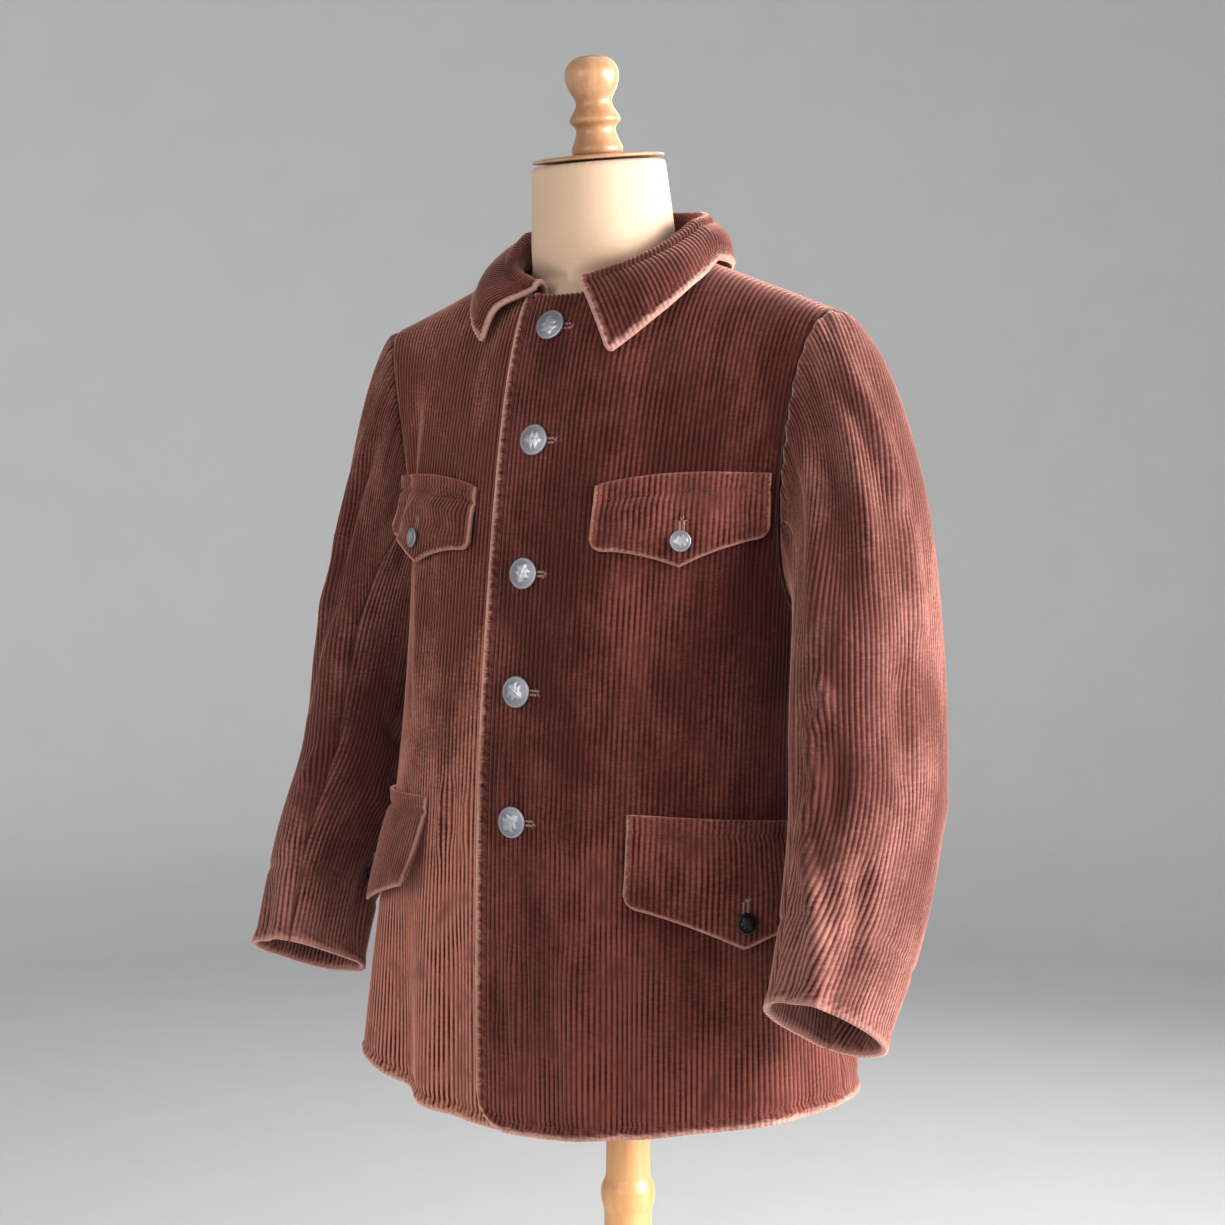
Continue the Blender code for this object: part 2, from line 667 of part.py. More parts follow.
def turned(name, profile, segments, colour, roughness, metallic=0.0):
    """A lathe-turned solid round Z from rows of radius and height."""
    mesh = bmesh.new()
    rows = [(0.0, profile[0].height)] + list(profile) + [(0.0, profile[-1].height)]
    verts = [mesh.verts.new((r, 0.0, h)) for r, h in rows]
    edges = [mesh.edges.new(pair) for pair in zip(verts, verts[1:])]
    bmesh.ops.spin(mesh, geom=verts + edges, cent=(0, 0, 0), axis=(0, 0, 1), angle=2 * math.pi,
                   steps=segments, use_merge=True)
    bmesh.ops.remove_doubles(mesh, verts=mesh.verts[:], dist=0.00002)
    bmesh.ops.recalc_face_normals(mesh, faces=mesh.faces[:])
    data = bpy.data.meshes.new(name)
    mesh.to_mesh(data)
    mesh.free()
    data.shade_smooth()
    made = bpy.data.objects.new(name, data)
    made.data.materials.append(material(name, colour, roughness, metallic))
    bpy.context.scene.collection.objects.link(made)
    return made


def button(name, radius, point, normal):
    """A pewter button with a domed face, on a short shank that stops just off the cloth."""
    r = radius
    profile = (
        TurnRow(0.30 * r, SEAM), TurnRow(0.30 * r, 0.0022), TurnRow(0.94 * r, 0.0026),
        TurnRow(r, 0.0034), TurnRow(0.93 * r, 0.0042), TurnRow(0.60 * r, 0.0052),
        TurnRow(0.25 * r, 0.0058),
    )
    made = turned(name, profile, 12, PEWTER_COLOUR, 0.4, 0.9)
    made.location = point
    made.rotation_euler = normal.to_track_quat("Z", "Y").to_euler()
    return made


for number, z in enumerate(BUTTON_HEIGHTS, 1):
    spot, facing = front_surface(0.0, level_of(z, 0.0), +1)
    button(f"front_button_{number}", FRONT_BUTTON_RADIUS, spot, facing)

for label, side in (("left", +1), ("right", -1)):
    for place, size, swing in (("chest", CHEST_FLAP, CHEST_SWING), ("hip", HIP_FLAP, HIP_SWING)):
        depth = 1.0 - 0.020 / size.tip
        cloth = flap_out(swing[side], 0.5, depth)
        spot, facing = flap_point(size, side, 0.5, depth, cloth + 0.0002)
        button(f"{place}_button_{label}", FLAP_BUTTON_RADIUS, spot, facing)


def form_rings():
    """All sections of the form: bust, shoulders just under the seam, then the neck."""
    slope = (NECK_POINT_Z - SHOULDER_TIP_Z) / (SHOULDER_TIP_X - NECK_HALF_WIDTH)
    below = (WALL + FORM_CLEAR) / math.cos(math.atan(slope))
    rings = list(FORM_RINGS)
    shoulders = ((FORM_SHOULDER_X, 0.088, 0.012, 1.1), (0.128, 0.090, 0.014, 0.9))
    for x, front, back, squareness in shoulders:
        z = NECK_POINT_Z - slope * (x - NECK_HALF_WIDTH) - below
        mid = NECK_POINT_Y + (SHOULDER_TIP_Y - NECK_POINT_Y) * (x - NECK_HALF_WIDTH) / 0.13
        rings.append(FormRing(z, x, front, back, mid, squareness))
    return rings + list(NECK_RINGS)


def dress_form():
    rings = form_rings()
    around = 32
    mesh = bmesh.new()
    bmesh.ops.create_grid(mesh, x_segments=around, y_segments=len(rings) - 1, size=0.5)
    for v in mesh.verts:
        row = rings[round((v.co.y + 0.5) * (len(rings) - 1))]
        turn = 2 * math.pi * (v.co.x + 0.5)
        flip = turn > math.pi
        angle = 2 * math.pi - turn if flip else turn
        section = BodyRing(row.z, row.half_width, row.front, row.back, row.mid_y, row.squareness)
        point = ring_point(section, angle, row.z)
        lean = smooth((row.z - 1.43) / 0.08)
        point.z += (point.y - row.mid_y) * math.tan(NECK_TILT) * lean
        v.co = mirrored(point) if flip else point
    bmesh.ops.remove_doubles(mesh, verts=mesh.verts[:], dist=0.00001)
    bmesh.ops.holes_fill(mesh, edges=mesh.edges[:], sides=0)
    bmesh.ops.recalc_face_normals(mesh, faces=mesh.faces[:])
    data = bpy.data.meshes.new("form_bust")
    mesh.to_mesh(data)
    mesh.free()
    data.shade_smooth()
    made = bpy.data.objects.new("form_bust", data)
    made.data.materials.append(material("form_bust", LINEN_COLOUR, 0.85))
    bpy.context.scene.collection.objects.link(made)


dress_form()

# Neck cap and knob stand on the tilted neck; the pole and base carry the bust from below
neck_top = NECK_RINGS[-1]
tilt = Matrix.Rotation(NECK_TILT, 4, "X")
up = tilt @ Vector((0.0, 0.0, 1.0))
cap = turned("neck_cap", CAP_PROFILE, TURN_SEGMENTS, WOOD_COLOUR, 0.45)
cap.rotation_euler = tilt.to_euler()
cap.location = Vector((0.0, neck_top.mid_y, neck_top.z)) + up * SEAM
knob = turned("knob", KNOB_PROFILE, TURN_SEGMENTS, WOOD_COLOUR, 0.4)
knob.rotation_euler = tilt.to_euler()
knob.location = cap.location + up * (CAP_PROFILE[-1].height + SEAM)
turned("pole", POLE_PROFILE, TURN_SEGMENTS, WOOD_COLOUR, 0.4)
turned("base", BASE_PROFILE, 36, WOOD_COLOUR, 0.45)
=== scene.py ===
from bisect import bisect_right
from collections import namedtuple
from functools import lru_cache
from math import atan2, ceil, copysign, cos, degrees, floor, hypot, pi, radians, sin, sqrt, tan

import bmesh
import bpy
from mathutils import Matrix, Vector, noise


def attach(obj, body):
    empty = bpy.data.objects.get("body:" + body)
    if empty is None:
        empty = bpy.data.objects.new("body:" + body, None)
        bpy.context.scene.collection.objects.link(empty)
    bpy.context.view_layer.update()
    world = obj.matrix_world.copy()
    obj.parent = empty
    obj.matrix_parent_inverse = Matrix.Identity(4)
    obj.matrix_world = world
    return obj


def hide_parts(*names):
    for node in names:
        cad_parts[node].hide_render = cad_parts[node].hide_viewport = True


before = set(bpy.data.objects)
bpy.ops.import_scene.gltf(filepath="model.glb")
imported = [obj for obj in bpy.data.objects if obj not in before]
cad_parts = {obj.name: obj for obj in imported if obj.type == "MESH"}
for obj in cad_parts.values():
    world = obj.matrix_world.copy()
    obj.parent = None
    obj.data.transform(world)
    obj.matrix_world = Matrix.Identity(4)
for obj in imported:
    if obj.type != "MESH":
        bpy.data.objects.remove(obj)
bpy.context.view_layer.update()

# Foot and pole of the stand: pale beech turned on a lathe and varnished.
# The pole's lower end is let into the foot, and the padded form sits on its top.
TurnRow = namedtuple("TurnRow", "radius height")


def metres(kind, rows, plain=()):
    """The rows of a table that is written in millimetres; plain fields are no lengths."""
    scales = [1 if field in plain else 1000 for field in kind._fields]
    return tuple(kind(*(value / scale for value, scale in zip(row, scales))) for row in rows)


FOOT_ROWS = metres(TurnRow, (
    (184, 0), (186, 0.6), (189.6, 4), (189.8, 13), (184, 19), (130, 22.8), (70, 27), (54, 29.6), (52, 30),
))
POLE_ROWS = metres(TurnRow, (
    (39.6, 30.3), (40.4, 30.8), (42, 36), (40.2, 43), (30, 52), (24, 80), (21.5, 200), (20.7, 420),
    (20, 633), (20.6, 637.5), (22.6, 643), (23.6, 651), (22.6, 658.5), (19.2, 663), (18.6, 670),
    (18.6, 848), (18.4, 849.6),
))
BEECH_PALE = (0.76, 0.385, 0.160, 1.0)
BEECH_DARK = (0.53, 0.225, 0.078, 1.0)


class Shade:
    """A value or colour that changes over a surface, held as the socket that gives it."""

    def __init__(self, tree, socket=None):
        self.tree = tree
        self.socket = socket

    def node(self, kind, settings=None, sockets=None, output=0):
        """Adds a node: its settings first, then its sockets."""
        made = self.tree.nodes.new(kind)
        for name, value in (settings or {}).items():
            setattr(made, name, value)
        for name, value in (sockets or {}).items():
            if isinstance(value, Shade):
                self.tree.links.new(value.socket, made.inputs[name])
            else:
                made.inputs[name].default_value = value
        return Shade(self.tree, made.outputs[output])

    def math(self, operation, *values):
        return self.node("ShaderNodeMath", {"operation": operation}, dict(enumerate(values)))

    def __add__(self, other):
        return self.math("ADD", self, other)

    def __sub__(self, other):
        return self.math("SUBTRACT", self, other)

    def __rsub__(self, other):
        return self.math("SUBTRACT", other, self)

    def __mul__(self, other):
        return self.math("MULTIPLY", self, other)

    __radd__ = __add__
    __rmul__ = __mul__

    def cos(self):
        return self.math("COSINE", self)

    def clear_of(self, low, high):
        """0 below low, 1 above high, and a soft step between."""
        settings = {"interpolation_type": "SMOOTHSTEP"}
        return self.node("ShaderNodeMapRange", settings, {0: self, 1: low, 2: high})

    def blend(self, under, over):
        """The colour under, going to the colour over where this value goes to 1."""
        return self.node("ShaderNodeMix", {"data_type": "RGBA"}, {0: self, 6: under, 7: over}, 2)

    def feed(self, shader, name):
        self.tree.links.new(self.socket, shader.inputs[name])


def new_finish(name, constants):
    """A material, its shader with these constants, and a shade to start from."""
    made = bpy.data.materials.new(name)
    made.use_nodes = True
    shader = made.node_tree.nodes["Principled BSDF"]
    for socket, value in constants.items():
        shader.inputs[socket].default_value = value
    return made, shader, Shade(made.node_tree)


def speckle(start, place, stretch, detail=3.0, rough=0.55):
    """Noise on a place that is stretched or squeezed along each axis."""
    moved = start.node("ShaderNodeMapping", None, {"Vector": place, "Scale": stretch})
    return start.node("ShaderNodeTexNoise", None,
                      {"Vector": moved, "Scale": 1.0, "Detail": detail, "Roughness": rough})


def object_place(start):
    return start.node("ShaderNodeTexCoord", None, None, "Object")


def rough_skin(start, shader, strength, distance, height):
    """Fine relief that is too small to model."""
    sockets = {"Strength": strength, "Distance": distance, "Height": height}
    start.node("ShaderNodeBump", None, sockets).feed(shader, "Normal")


def mark(start, key):
    """A value that the mesh carries at each point."""
    return start.node("ShaderNodeAttribute", {"attribute_name": key}, None, "Fac")


def beech_finish(name, pale, dark):
    """Straight grain along the turning axis, fine pores, and a satin varnish."""
    made, shader, start = new_finish(name, {"Coat Weight": 0.25, "Coat Roughness": 0.22})
    place = object_place(start)
    grain = speckle(start, place, (95.0, 95.0, 4.0), 6.0, 0.62)
    bands = speckle(start, place, (22.0, 22.0, 1.2), 2.0)
    pores = speckle(start, place, (900.0, 900.0, 40.0), 2.0)
    tone = (grain * 0.65 + bands * 0.55).clear_of(0.42, 0.80)
    colour = tone.blend(pale, dark)
    colour = (pores.clear_of(0.60, 0.75) * 0.35).blend(colour, dark)
    colour.feed(shader, "Base Color")
    (0.30 + grain * 0.22).feed(shader, "Roughness")
    rough_skin(start, shader, 0.12, 0.0006, grain + pores)
    return made


def new_object(name, mesh, finish):
    """An object of a finished mesh, smooth shaded."""
    data = bpy.data.meshes.new(name)
    mesh.to_mesh(data)
    mesh.free()
    data.shade_smooth()
    data.materials.append(finish)
    made = bpy.data.objects.new(name, data)
    bpy.context.scene.collection.objects.link(made)
    return made


def piece(name, mesh, finish):
    """An object that rides on the one rigid body."""
    made = new_object(name, mesh, finish)
    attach(made, "root")
    return made


def rounded(made):
    curve = made.modifiers.new("rounded", "SUBSURF")
    curve.levels = 2
    curve.render_levels = 2


def spun(rows, segments):
    """A mesh turned round Z from rows of radius and height."""
    mesh = bmesh.new()
    line = [mesh.verts.new((radius, 0.0, height)) for radius, height in rows]
    edges = [mesh.edges.new(pair) for pair in zip(line, line[1:])]
    bmesh.ops.spin(mesh, geom=line + edges, cent=(0, 0, 0), axis=(0, 0, 1), angle=2 * pi,
                   steps=segments, use_merge=True)
    bmesh.ops.remove_doubles(mesh, verts=mesh.verts[:], dist=0.00002)
    bmesh.ops.recalc_face_normals(mesh, faces=mesh.faces[:])
    return mesh


def turned(name, rows, segments, finish, place=Matrix()):
    """A wooden piece, closed at both ends, put in its place."""
    mesh = spun(((0.0, rows[0].height), *rows, (0.0, rows[-1].height)), segments)
    bmesh.ops.transform(mesh, matrix=place, verts=mesh.verts[:])
    made = piece(name, mesh, finish)
    rounded(made)
    return made


beech = beech_finish("varnished_beech", BEECH_PALE, BEECH_DARK)
for name, rows, segments in (("base", FOOT_ROWS, 48), ("pole", POLE_ROWS, 32)):
    wood = turned(f"stand_{name}", rows, segments, beech)
    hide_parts(name)

# Padded form: a limbless bust with a neck, cream linen stretched over wadding.
# It carries the jacket at the shoulders and tilts forward a little at the neck.
FormRing = namedtuple("FormRing", "z half_width front back mid_y squareness")
FORM_RINGS = metres(FormRing, (
    (850, 120, 85, 30, -30, 2.2), (856, 132, 98, 40, -30, 2.2), (920, 150, 112, 55, -30, 2.2),
    (1020, 146, 112, 55, -30, 2.2), (1140, 158, 122, 72, -30, 2.2), (1240, 164, 118, 72, -32, 2.1),
    (1320, 164, 104, 60, -33, 1.9), (1365, 164, 92, 45, -34, 1.7), (1399.5, 164, 88, 12, -33, 1.1),
    (1414, 128, 90, 14, -32, 0.9), (1421, 86, 92, 18, -30.5, 0.9), (1430, 61.5, 93, 21.5, -36, 2.0),
    (1450, 59.5, 98, 22, -37.2, 2.0), (1470, 58, 98.5, 17.5, -39.6, 2.0), (1490, 56.5, 99, 13, -42, 2.0),
    (1512, 55, 100.6, 8.6, -46.2, 2.0), (1515.6, 54.4, 100.3, 8, -46.6, 2.0),
), ("squareness",))
NECK_TILT = radians(8)
NECK_TOP_Y = -0.0466
NECK_TOP_Z = 1.516
TILT_FROM_Z = 1.43
TILT_EASE = 0.08
LINEN_PALE = (0.60, 0.414, 0.284, 1.0)
LINEN_DARK = (0.46, 0.305, 0.195, 1.0)


def smooth(x):
    x = max(0.0, min(1.0, x))
    return x * x * (3.0 - 2.0 * x)


def fade(x):
    return 1.0 - smooth(x)


def squared(value, squareness):
    """A sine or cosine, made to follow a squarer or more pointed oval."""
    return copysign(abs(value) ** (2.0 / squareness), value)


def oval_point(half_width, front, back, mid_y, squareness, angle, z):
    """A point of a level section; the angle runs from the centre front right round."""
    ahead = cos(angle)
    reach = front + mid_y if ahead > 0.0 else back - mid_y
    across = half_width * squared(sin(angle), squareness)
    return Vector((across, mid_y - reach * squared(ahead, squareness), z))


def linen_finish():
    """Plain weave of pale threads, a little uneven, with soft shadows between them."""
    made, shader, start = new_finish("cream_linen", {"Roughness": 0.85, "Sheen Weight": 0.15})
    place = object_place(start)
    warp = speckle(start, place, (760.0, 760.0, 45.0), 2.0)
    weft = speckle(start, place, (50.0, 50.0, 880.0), 2.0)
    cloud = speckle(start, place, (12.0, 12.0, 12.0), 2.0)
    thread = (warp + weft) * 0.5
    colour = thread.clear_of(0.36, 0.68).blend(LINEN_DARK, LINEN_PALE)
    colour = (cloud.clear_of(0.35, 0.75) * 0.35).blend(LINEN_PALE, colour)
    colour.feed(shader, "Base Color")
    rough_skin(start, shader, 0.35, 0.0004, thread)
    return made


FORM_COLUMNS = 48
mesh = bmesh.new()
bmesh.ops.create_grid(mesh, x_segments=FORM_COLUMNS, y_segments=len(FORM_RINGS) - 1, size=0.5)
for v in mesh.verts:
    ring = FORM_RINGS[round((v.co.y + 0.5) * (len(FORM_RINGS) - 1))]
    v.co = oval_point(*ring[1:], 2 * pi * (v.co.x + 0.5), ring.z)
    v.co.z += (v.co.y - ring.mid_y) * tan(NECK_TILT) * smooth((ring.z - TILT_FROM_Z) / TILT_EASE)
bmesh.ops.remove_doubles(mesh, verts=mesh.verts[:], dist=0.00001)
bmesh.ops.holes_fill(mesh, edges=mesh.edges[:], sides=0)
bmesh.ops.recalc_face_normals(mesh, faces=mesh.faces[:])
form = piece("padded_form", mesh, linen_finish())
rounded(form)
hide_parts("form_bust")

# Neck cap and knob: a thin turned disc that closes the linen neck, and the knob screwed on it.
# Both are beech like the pole and lean forward with the neck.
CAP_ROWS = metres(TurnRow, (
    (53.6, 0), (54.2, 0.4), (54.6, 1.4), (54, 2.8), (42, 4.2), (30, 4.6),
))
KNOB_ROWS = metres(TurnRow, (
    (20, 0), (20.6, 0.6), (21.3, 4), (20.6, 6.6), (17.4, 13), (15.8, 19.5), (17.2, 22.8), (20.6, 25.2),
    (21.2, 28.5), (19, 31.8), (14.6, 38.5), (14.8, 44), (20.5, 52.5), (22.7, 61.2), (21.6, 69.2),
    (16.4, 75.6), (8.2, 78.5),
))
KNOB_PALE = (0.54, 0.300, 0.155, 1.0)
KNOB_DARK = (0.33, 0.150, 0.062, 1.0)
KNOB_SEGMENTS = 32
SEAT_GAP = 0.0003

knob_wood = beech_finish("older_beech", KNOB_PALE, KNOB_DARK)
neck_seat = Matrix.Translation((0.0, NECK_TOP_Y, NECK_TOP_Z)) @ Matrix.Rotation(NECK_TILT, 4, "X")
cap_seat = neck_seat @ Matrix.Translation((0.0, 0.0, SEAT_GAP))
knob_seat = cap_seat @ Matrix.Translation((0.0, 0.0, CAP_ROWS[-1].height + SEAT_GAP))
for name, rows, place in (("neck_cap", CAP_ROWS, cap_seat), ("knob", KNOB_ROWS, knob_seat)):
    wood = turned(f"turned_{name}", rows, KNOB_SEGMENTS, knob_wood, place)
    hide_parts(name)

# Backs of the jacket: two panels of wide-wale cotton corduroy joined at the centre back.
# The wales run straight down; side and shoulder seams join the backs to the fronts.
WALL = 0.0026
SEAM = 0.0003
HEM_Z = 0.742
HEM_SIDE_RISE = 0.026
HEM_SIDE_AT = 0.260
ARMPIT_Z = 1.140
SKIRT_LENGTH = ARMPIT_Z - HEM_Z
RIGHT_HEM_RISE = 0.020
UPPER_LENGTH = 0.29
WALE = 0.00425
WALE_HEIGHT = 0.0011
WALE_SINK = 0.0004
COLUMN = WALE / 4
BodyRing = namedtuple("BodyRing", "z half_width front back side_y squareness")
BODY_RINGS = metres(BodyRing, (
    (740, 224, 166, 84, -30, 2.50), (860, 204, 167, 85, -22, 2.50), (980, 190, 165, 88, -16, 2.45),
    (1070, 183, 160, 93, -18, 2.35), (1140, 179, 153, 98, -22, 2.30),
), ("squareness",))
NECK_HALF_WIDTH = 0.078
NECK_POINT = Vector((NECK_HALF_WIDTH, -0.030, 1.437))
NECK_ENDS = {True: Vector((0.0, -0.099, 1.402)), False: Vector((0.0, 0.038, 1.446))}
SHOULDER_TIP = Vector((0.2107, -0.034, 1.386))
UpperCut = namedtuple("UpperCut", "lift reach neck_angle")
UPPER_CUT = {True: UpperCut(0.110, 0.062, radians(62)), False: UpperCut(0.140, 0.075, radians(55))}
ArmholeRow = namedtuple("ArmholeRow", "share front back")
ARMHOLE_ROWS = metres(ArmholeRow, (
    (0.08, 222, 215), (0.22, 208, 204), (0.50, 203, 202), (0.78, 206, 206), (1.00, 210.7, 210.7),
), ("share",))
CreaseRow = namedtuple("CreaseRow", "across_0 up_0 across_1 up_1 half_width depth")
BACK_CREASES = metres(CreaseRow, (
    (60, 700, 50, 1020, 34, 6), (105, 700, 95, 980, 30, -7), (155, 700, 150, 960, 32, 5),
    (120, 1120, 180, 1220, 22, -4), (100, 1090, 175, 1160, 20, 3), (30, 1000, 110, 1040, 18, -3),
))


def mirrored(v):
    return Vector((-v.x, v.y, v.z))


def curve_weights(t):
    """Shares of a curve's start, the slope there, its end and the slope there."""
    return 2 * t ** 3 - 3 * t ** 2 + 1, t ** 3 - 2 * t ** 2 + t, 3 * t ** 2 - 2 * t ** 3, t ** 3 - t ** 2


def interpolate(rows, at):
    """A row of the same kind at a place between the table's rows, along smooth curves."""
    keys = [row[0] for row in rows]
    place = max(keys[0], min(keys[-1], at))
    k = 0
    while k < len(rows) - 2 and place > keys[k + 1]:
        k += 1
    span = keys[k + 1] - keys[k]
    a, b, c, d = curve_weights((place - keys[k]) / span)
    values = []
    for points in zip(*rows):
        slope_in = (points[k + 1] - points[k]) / span
        slope_out = slope_in
        if k > 0:
            slope_in = (points[k + 1] - points[k - 1]) / (keys[k + 1] - keys[k - 1])
        if k + 2 < len(rows):
            slope_out = (points[k + 2] - points[k]) / (keys[k + 2] - keys[k])
        values.append(a * points[k] + b * span * slope_in + c * points[k + 1] + d * span * slope_out)
    return type(rows[0])(*values)


def run_lengths(points):
    lengths = [0.0]
    for a, b in zip(points, points[1:]):
        lengths.append(lengths[-1] + (b - a).length)
    return lengths


def run_at(points, lengths, want):
    """The point at a distance along a run of points."""
    k = max(0, min(bisect_right(lengths, want) - 1, len(points) - 2))
    return points[k].lerp(points[k + 1], (want - lengths[k]) / (lengths[k + 1] - lengths[k]))


RING_SPACING = 0.004
RING_STEPS = 60


@lru_cache(None)
def quarter_ring(number, is_front):
    """A quarter of a level section, from the centre line to the side seam, and its lengths."""
    z = number * RING_SPACING
    ring = interpolate(BODY_RINGS, z)
    points = []
    for step in range(RING_STEPS + 1):
        turn = 0.5 * pi * step / RING_STEPS
        points.append(oval_point(*ring[1:], turn if is_front else pi - turn, z))
    return points, run_lengths(points)


def ring_number(z):
    return floor(z / RING_SPACING + 1e-6)


def ring_at(z, along, is_front):
    number = ring_number(z)
    low = run_at(*quarter_ring(number, is_front), along)
    high = run_at(*quarter_ring(number + 1, is_front), along)
    return low.lerp(high, z / RING_SPACING - number)


def top_edge(along, is_front):
    """Neck edge up to the neck point, then the shoulder seam, and how steep the panel meets it."""
    if along < NECK_HALF_WIDTH:
        ease = sqrt(1.0 - (along / NECK_HALF_WIDTH) ** 2)
        edge = NECK_POINT.lerp(NECK_ENDS[is_front], ease)
        edge.x = along
        return edge, UPPER_CUT[is_front].neck_angle * ease
    share = (along - NECK_HALF_WIDTH) / (SHOULDER_TIP.x - NECK_HALF_WIDTH)
    return NECK_POINT.lerp(SHOULDER_TIP, share), 0.0


def skirt_height(along, level, is_front):
    """Height below the armpit: the hem is lowest at the front and rises towards the side."""
    hem = HEM_Z + (HEM_SIDE_RISE * smooth(along / HEM_SIDE_AT) if is_front else HEM_SIDE_RISE)
    return hem + (ARMPIT_Z - hem) * level


SLOPE_STEP = 0.02
EaseRow = namedtuple("EaseRow", "offset weight")
EASE_STEPS = 6
EASE_STEP = 0.014
EASED = [EaseRow(k * EASE_STEP, (1.0 + cos(pi * k / (EASE_STEPS + 1))) / (2 * EASE_STEPS + 2))
         for k in range(-EASE_STEPS, EASE_STEPS + 1)]


def body_point(along, level, is_front):
    """Body surface on the wearer's left. Level 0 is the hem, 1 the armpit, 2 the top edge.
    Below that edge the turn at the neck point is eased out to both sides."""
    if level <= 1.0:
        return ring_at(skirt_height(along, level, is_front), along, is_front)
    start = ring_at(ARMPIT_Z, along, is_front)
    slope = (start - ring_at(ARMPIT_Z - SLOPE_STEP, along, is_front)) / SLOPE_STEP
    cut = UPPER_CUT[is_front]
    forward = 1.0 if is_front else -1.0
    near_start = start + slope * cut.lift
    t = level - 1.0
    s = 1.0 - t
    end = Vector()
    leave = Vector()
    for row in EASED:
        edge, angle = top_edge(abs(along + row.offset * s), is_front)
        end += edge * row.weight
        leave += Vector((0.0, forward * cos(angle), sin(angle))) * row.weight
    end.x = along
    near_end = end - leave * cut.reach
    return s ** 3 * start + 3 * s * s * t * near_start + 3 * s * t * t * near_end + t ** 3 * end


@lru_cache(None)
def edge_along(level, is_front):
    """Distance of the side seam, the armhole or the shoulder end from the centre line."""
    if level <= 1.0:
        z = skirt_height(HEM_SIDE_AT, level, is_front)
        number = ring_number(z)
        low = quarter_ring(number, is_front)[1][-1]
        high = quarter_ring(number + 1, is_front)[1][-1]
        return low + (high - low) * (z / RING_SPACING - number) - SEAM / 2
    armpit = (quarter_ring(ring_number(ARMPIT_Z), half)[1][-1] for half in (True, False))
    first = ArmholeRow(0.0, *armpit)
    row = interpolate((first,) + ARMHOLE_ROWS, level - 1.0)
    return (row.front if is_front else row.back) - SEAM / 2


def right_rise(along, level, is_front):
    """How much higher the wearer's right side hangs: most at the hem, next to the side seam."""
    if level >= 1.0:
        return 0.0
    share = along / edge_along(level, is_front)
    return RIGHT_HEM_RISE * smooth((share - 0.4) / 0.6) * (1.0 - level) ** 2


def creased(rows, across, up):
    """How far the soft ridges and troughs of a table move the cloth out at a place."""
    total = 0.0
    for row in rows:
        dx = row.across_1 - row.across_0
        dy = row.up_1 - row.up_0
        t = ((across - row.across_0) * dx + (up - row.up_0) * dy) / (dx * dx + dy * dy)
        t = max(0.0, min(1.0, t))
        gap = hypot(across - row.across_0 - t * dx, up - row.up_0 - t * dy)
        if gap < row.half_width:
            total += row.depth * fade(gap / row.half_width) * smooth(0.3 + 3.0 * min(t, 1.0 - t))
    return total


UNEVEN_DEPTH = 0.0020


def chance(*place):
    """The same number between -1 and 1 every time for a place, changing smoothly from place to place."""
    return noise.noise(Vector(place))


def uneven(across, up, seed):
    """The slight hollows and swellings of cloth that has been worn for years."""
    return UNEVEN_DEPTH * chance(across * 13.0, up * 8.0, seed)


Laid = namedtuple("Laid", "point across up rim seam")
ALLOWANCE = 0.007
ALLOWANCE_SINK = 0.0042
SEAM_FADE = 0.03


def armhole_allowance(level):
    """Cloth left past the armhole seam; it lies inside the sleeve."""
    return ALLOWANCE * smooth((level - 1.0) / 0.05)


def sunk(seam):
    """How far the cloth goes in where it passes a seam and lies under the next piece."""
    return -ALLOWANCE_SINK * smooth(-seam / 0.0035)


def pile_height(across, up, seed):
    """Rounded ridges with narrow valleys, worn a little uneven along their length."""
    ridge = (0.5 - 0.5 * cos(2 * pi * across / WALE)) ** 0.6
    worn = chance(across * 160.0, up * 55.0, seed)
    return WALE_HEIGHT * ridge * (1.0 + 0.16 * worn)


STITCH_IN = 0.0100
PUCKER_PITCH = 0.0088
PUCKER_DEPTH = 0.0007
EDGE_SWELLING = 0.0014
EDGE_OUTSIDE = 0.0016
EDGE_INSIDE = 0.0008
EDGE_ROUND = 0.0028


def edge_round(rim):
    """1 at a turned edge, falling to 0 where its rounding ends."""
    return 1.0 - sqrt(min(rim / EDGE_ROUND, 1.0))


def cord_relief(laid, seed, stitch_in=STITCH_IN):
    """Height of the pile: pressed down along stitches and seams, swollen at a turned edge."""
    pressed = 0.0
    if stitch_in:
        pressed = fade(abs(laid.rim - stitch_in) / 0.0024)
    pinched = fade(laid.seam / 0.0050)
    height = pile_height(laid.across, laid.up, seed) * (1.0 - 0.7 * pressed) * (1.0 - 0.8 * pinched)
    height -= WALE_SINK + 0.0010 * pressed + 0.0007 * pinched
    if laid.rim < 0.012:
        height += EDGE_SWELLING * fade((laid.rim - 0.004) / 0.005)
        height -= EDGE_OUTSIDE * edge_round(laid.rim)
    return height


MARKS = ("across", "up", "rim", "seam")


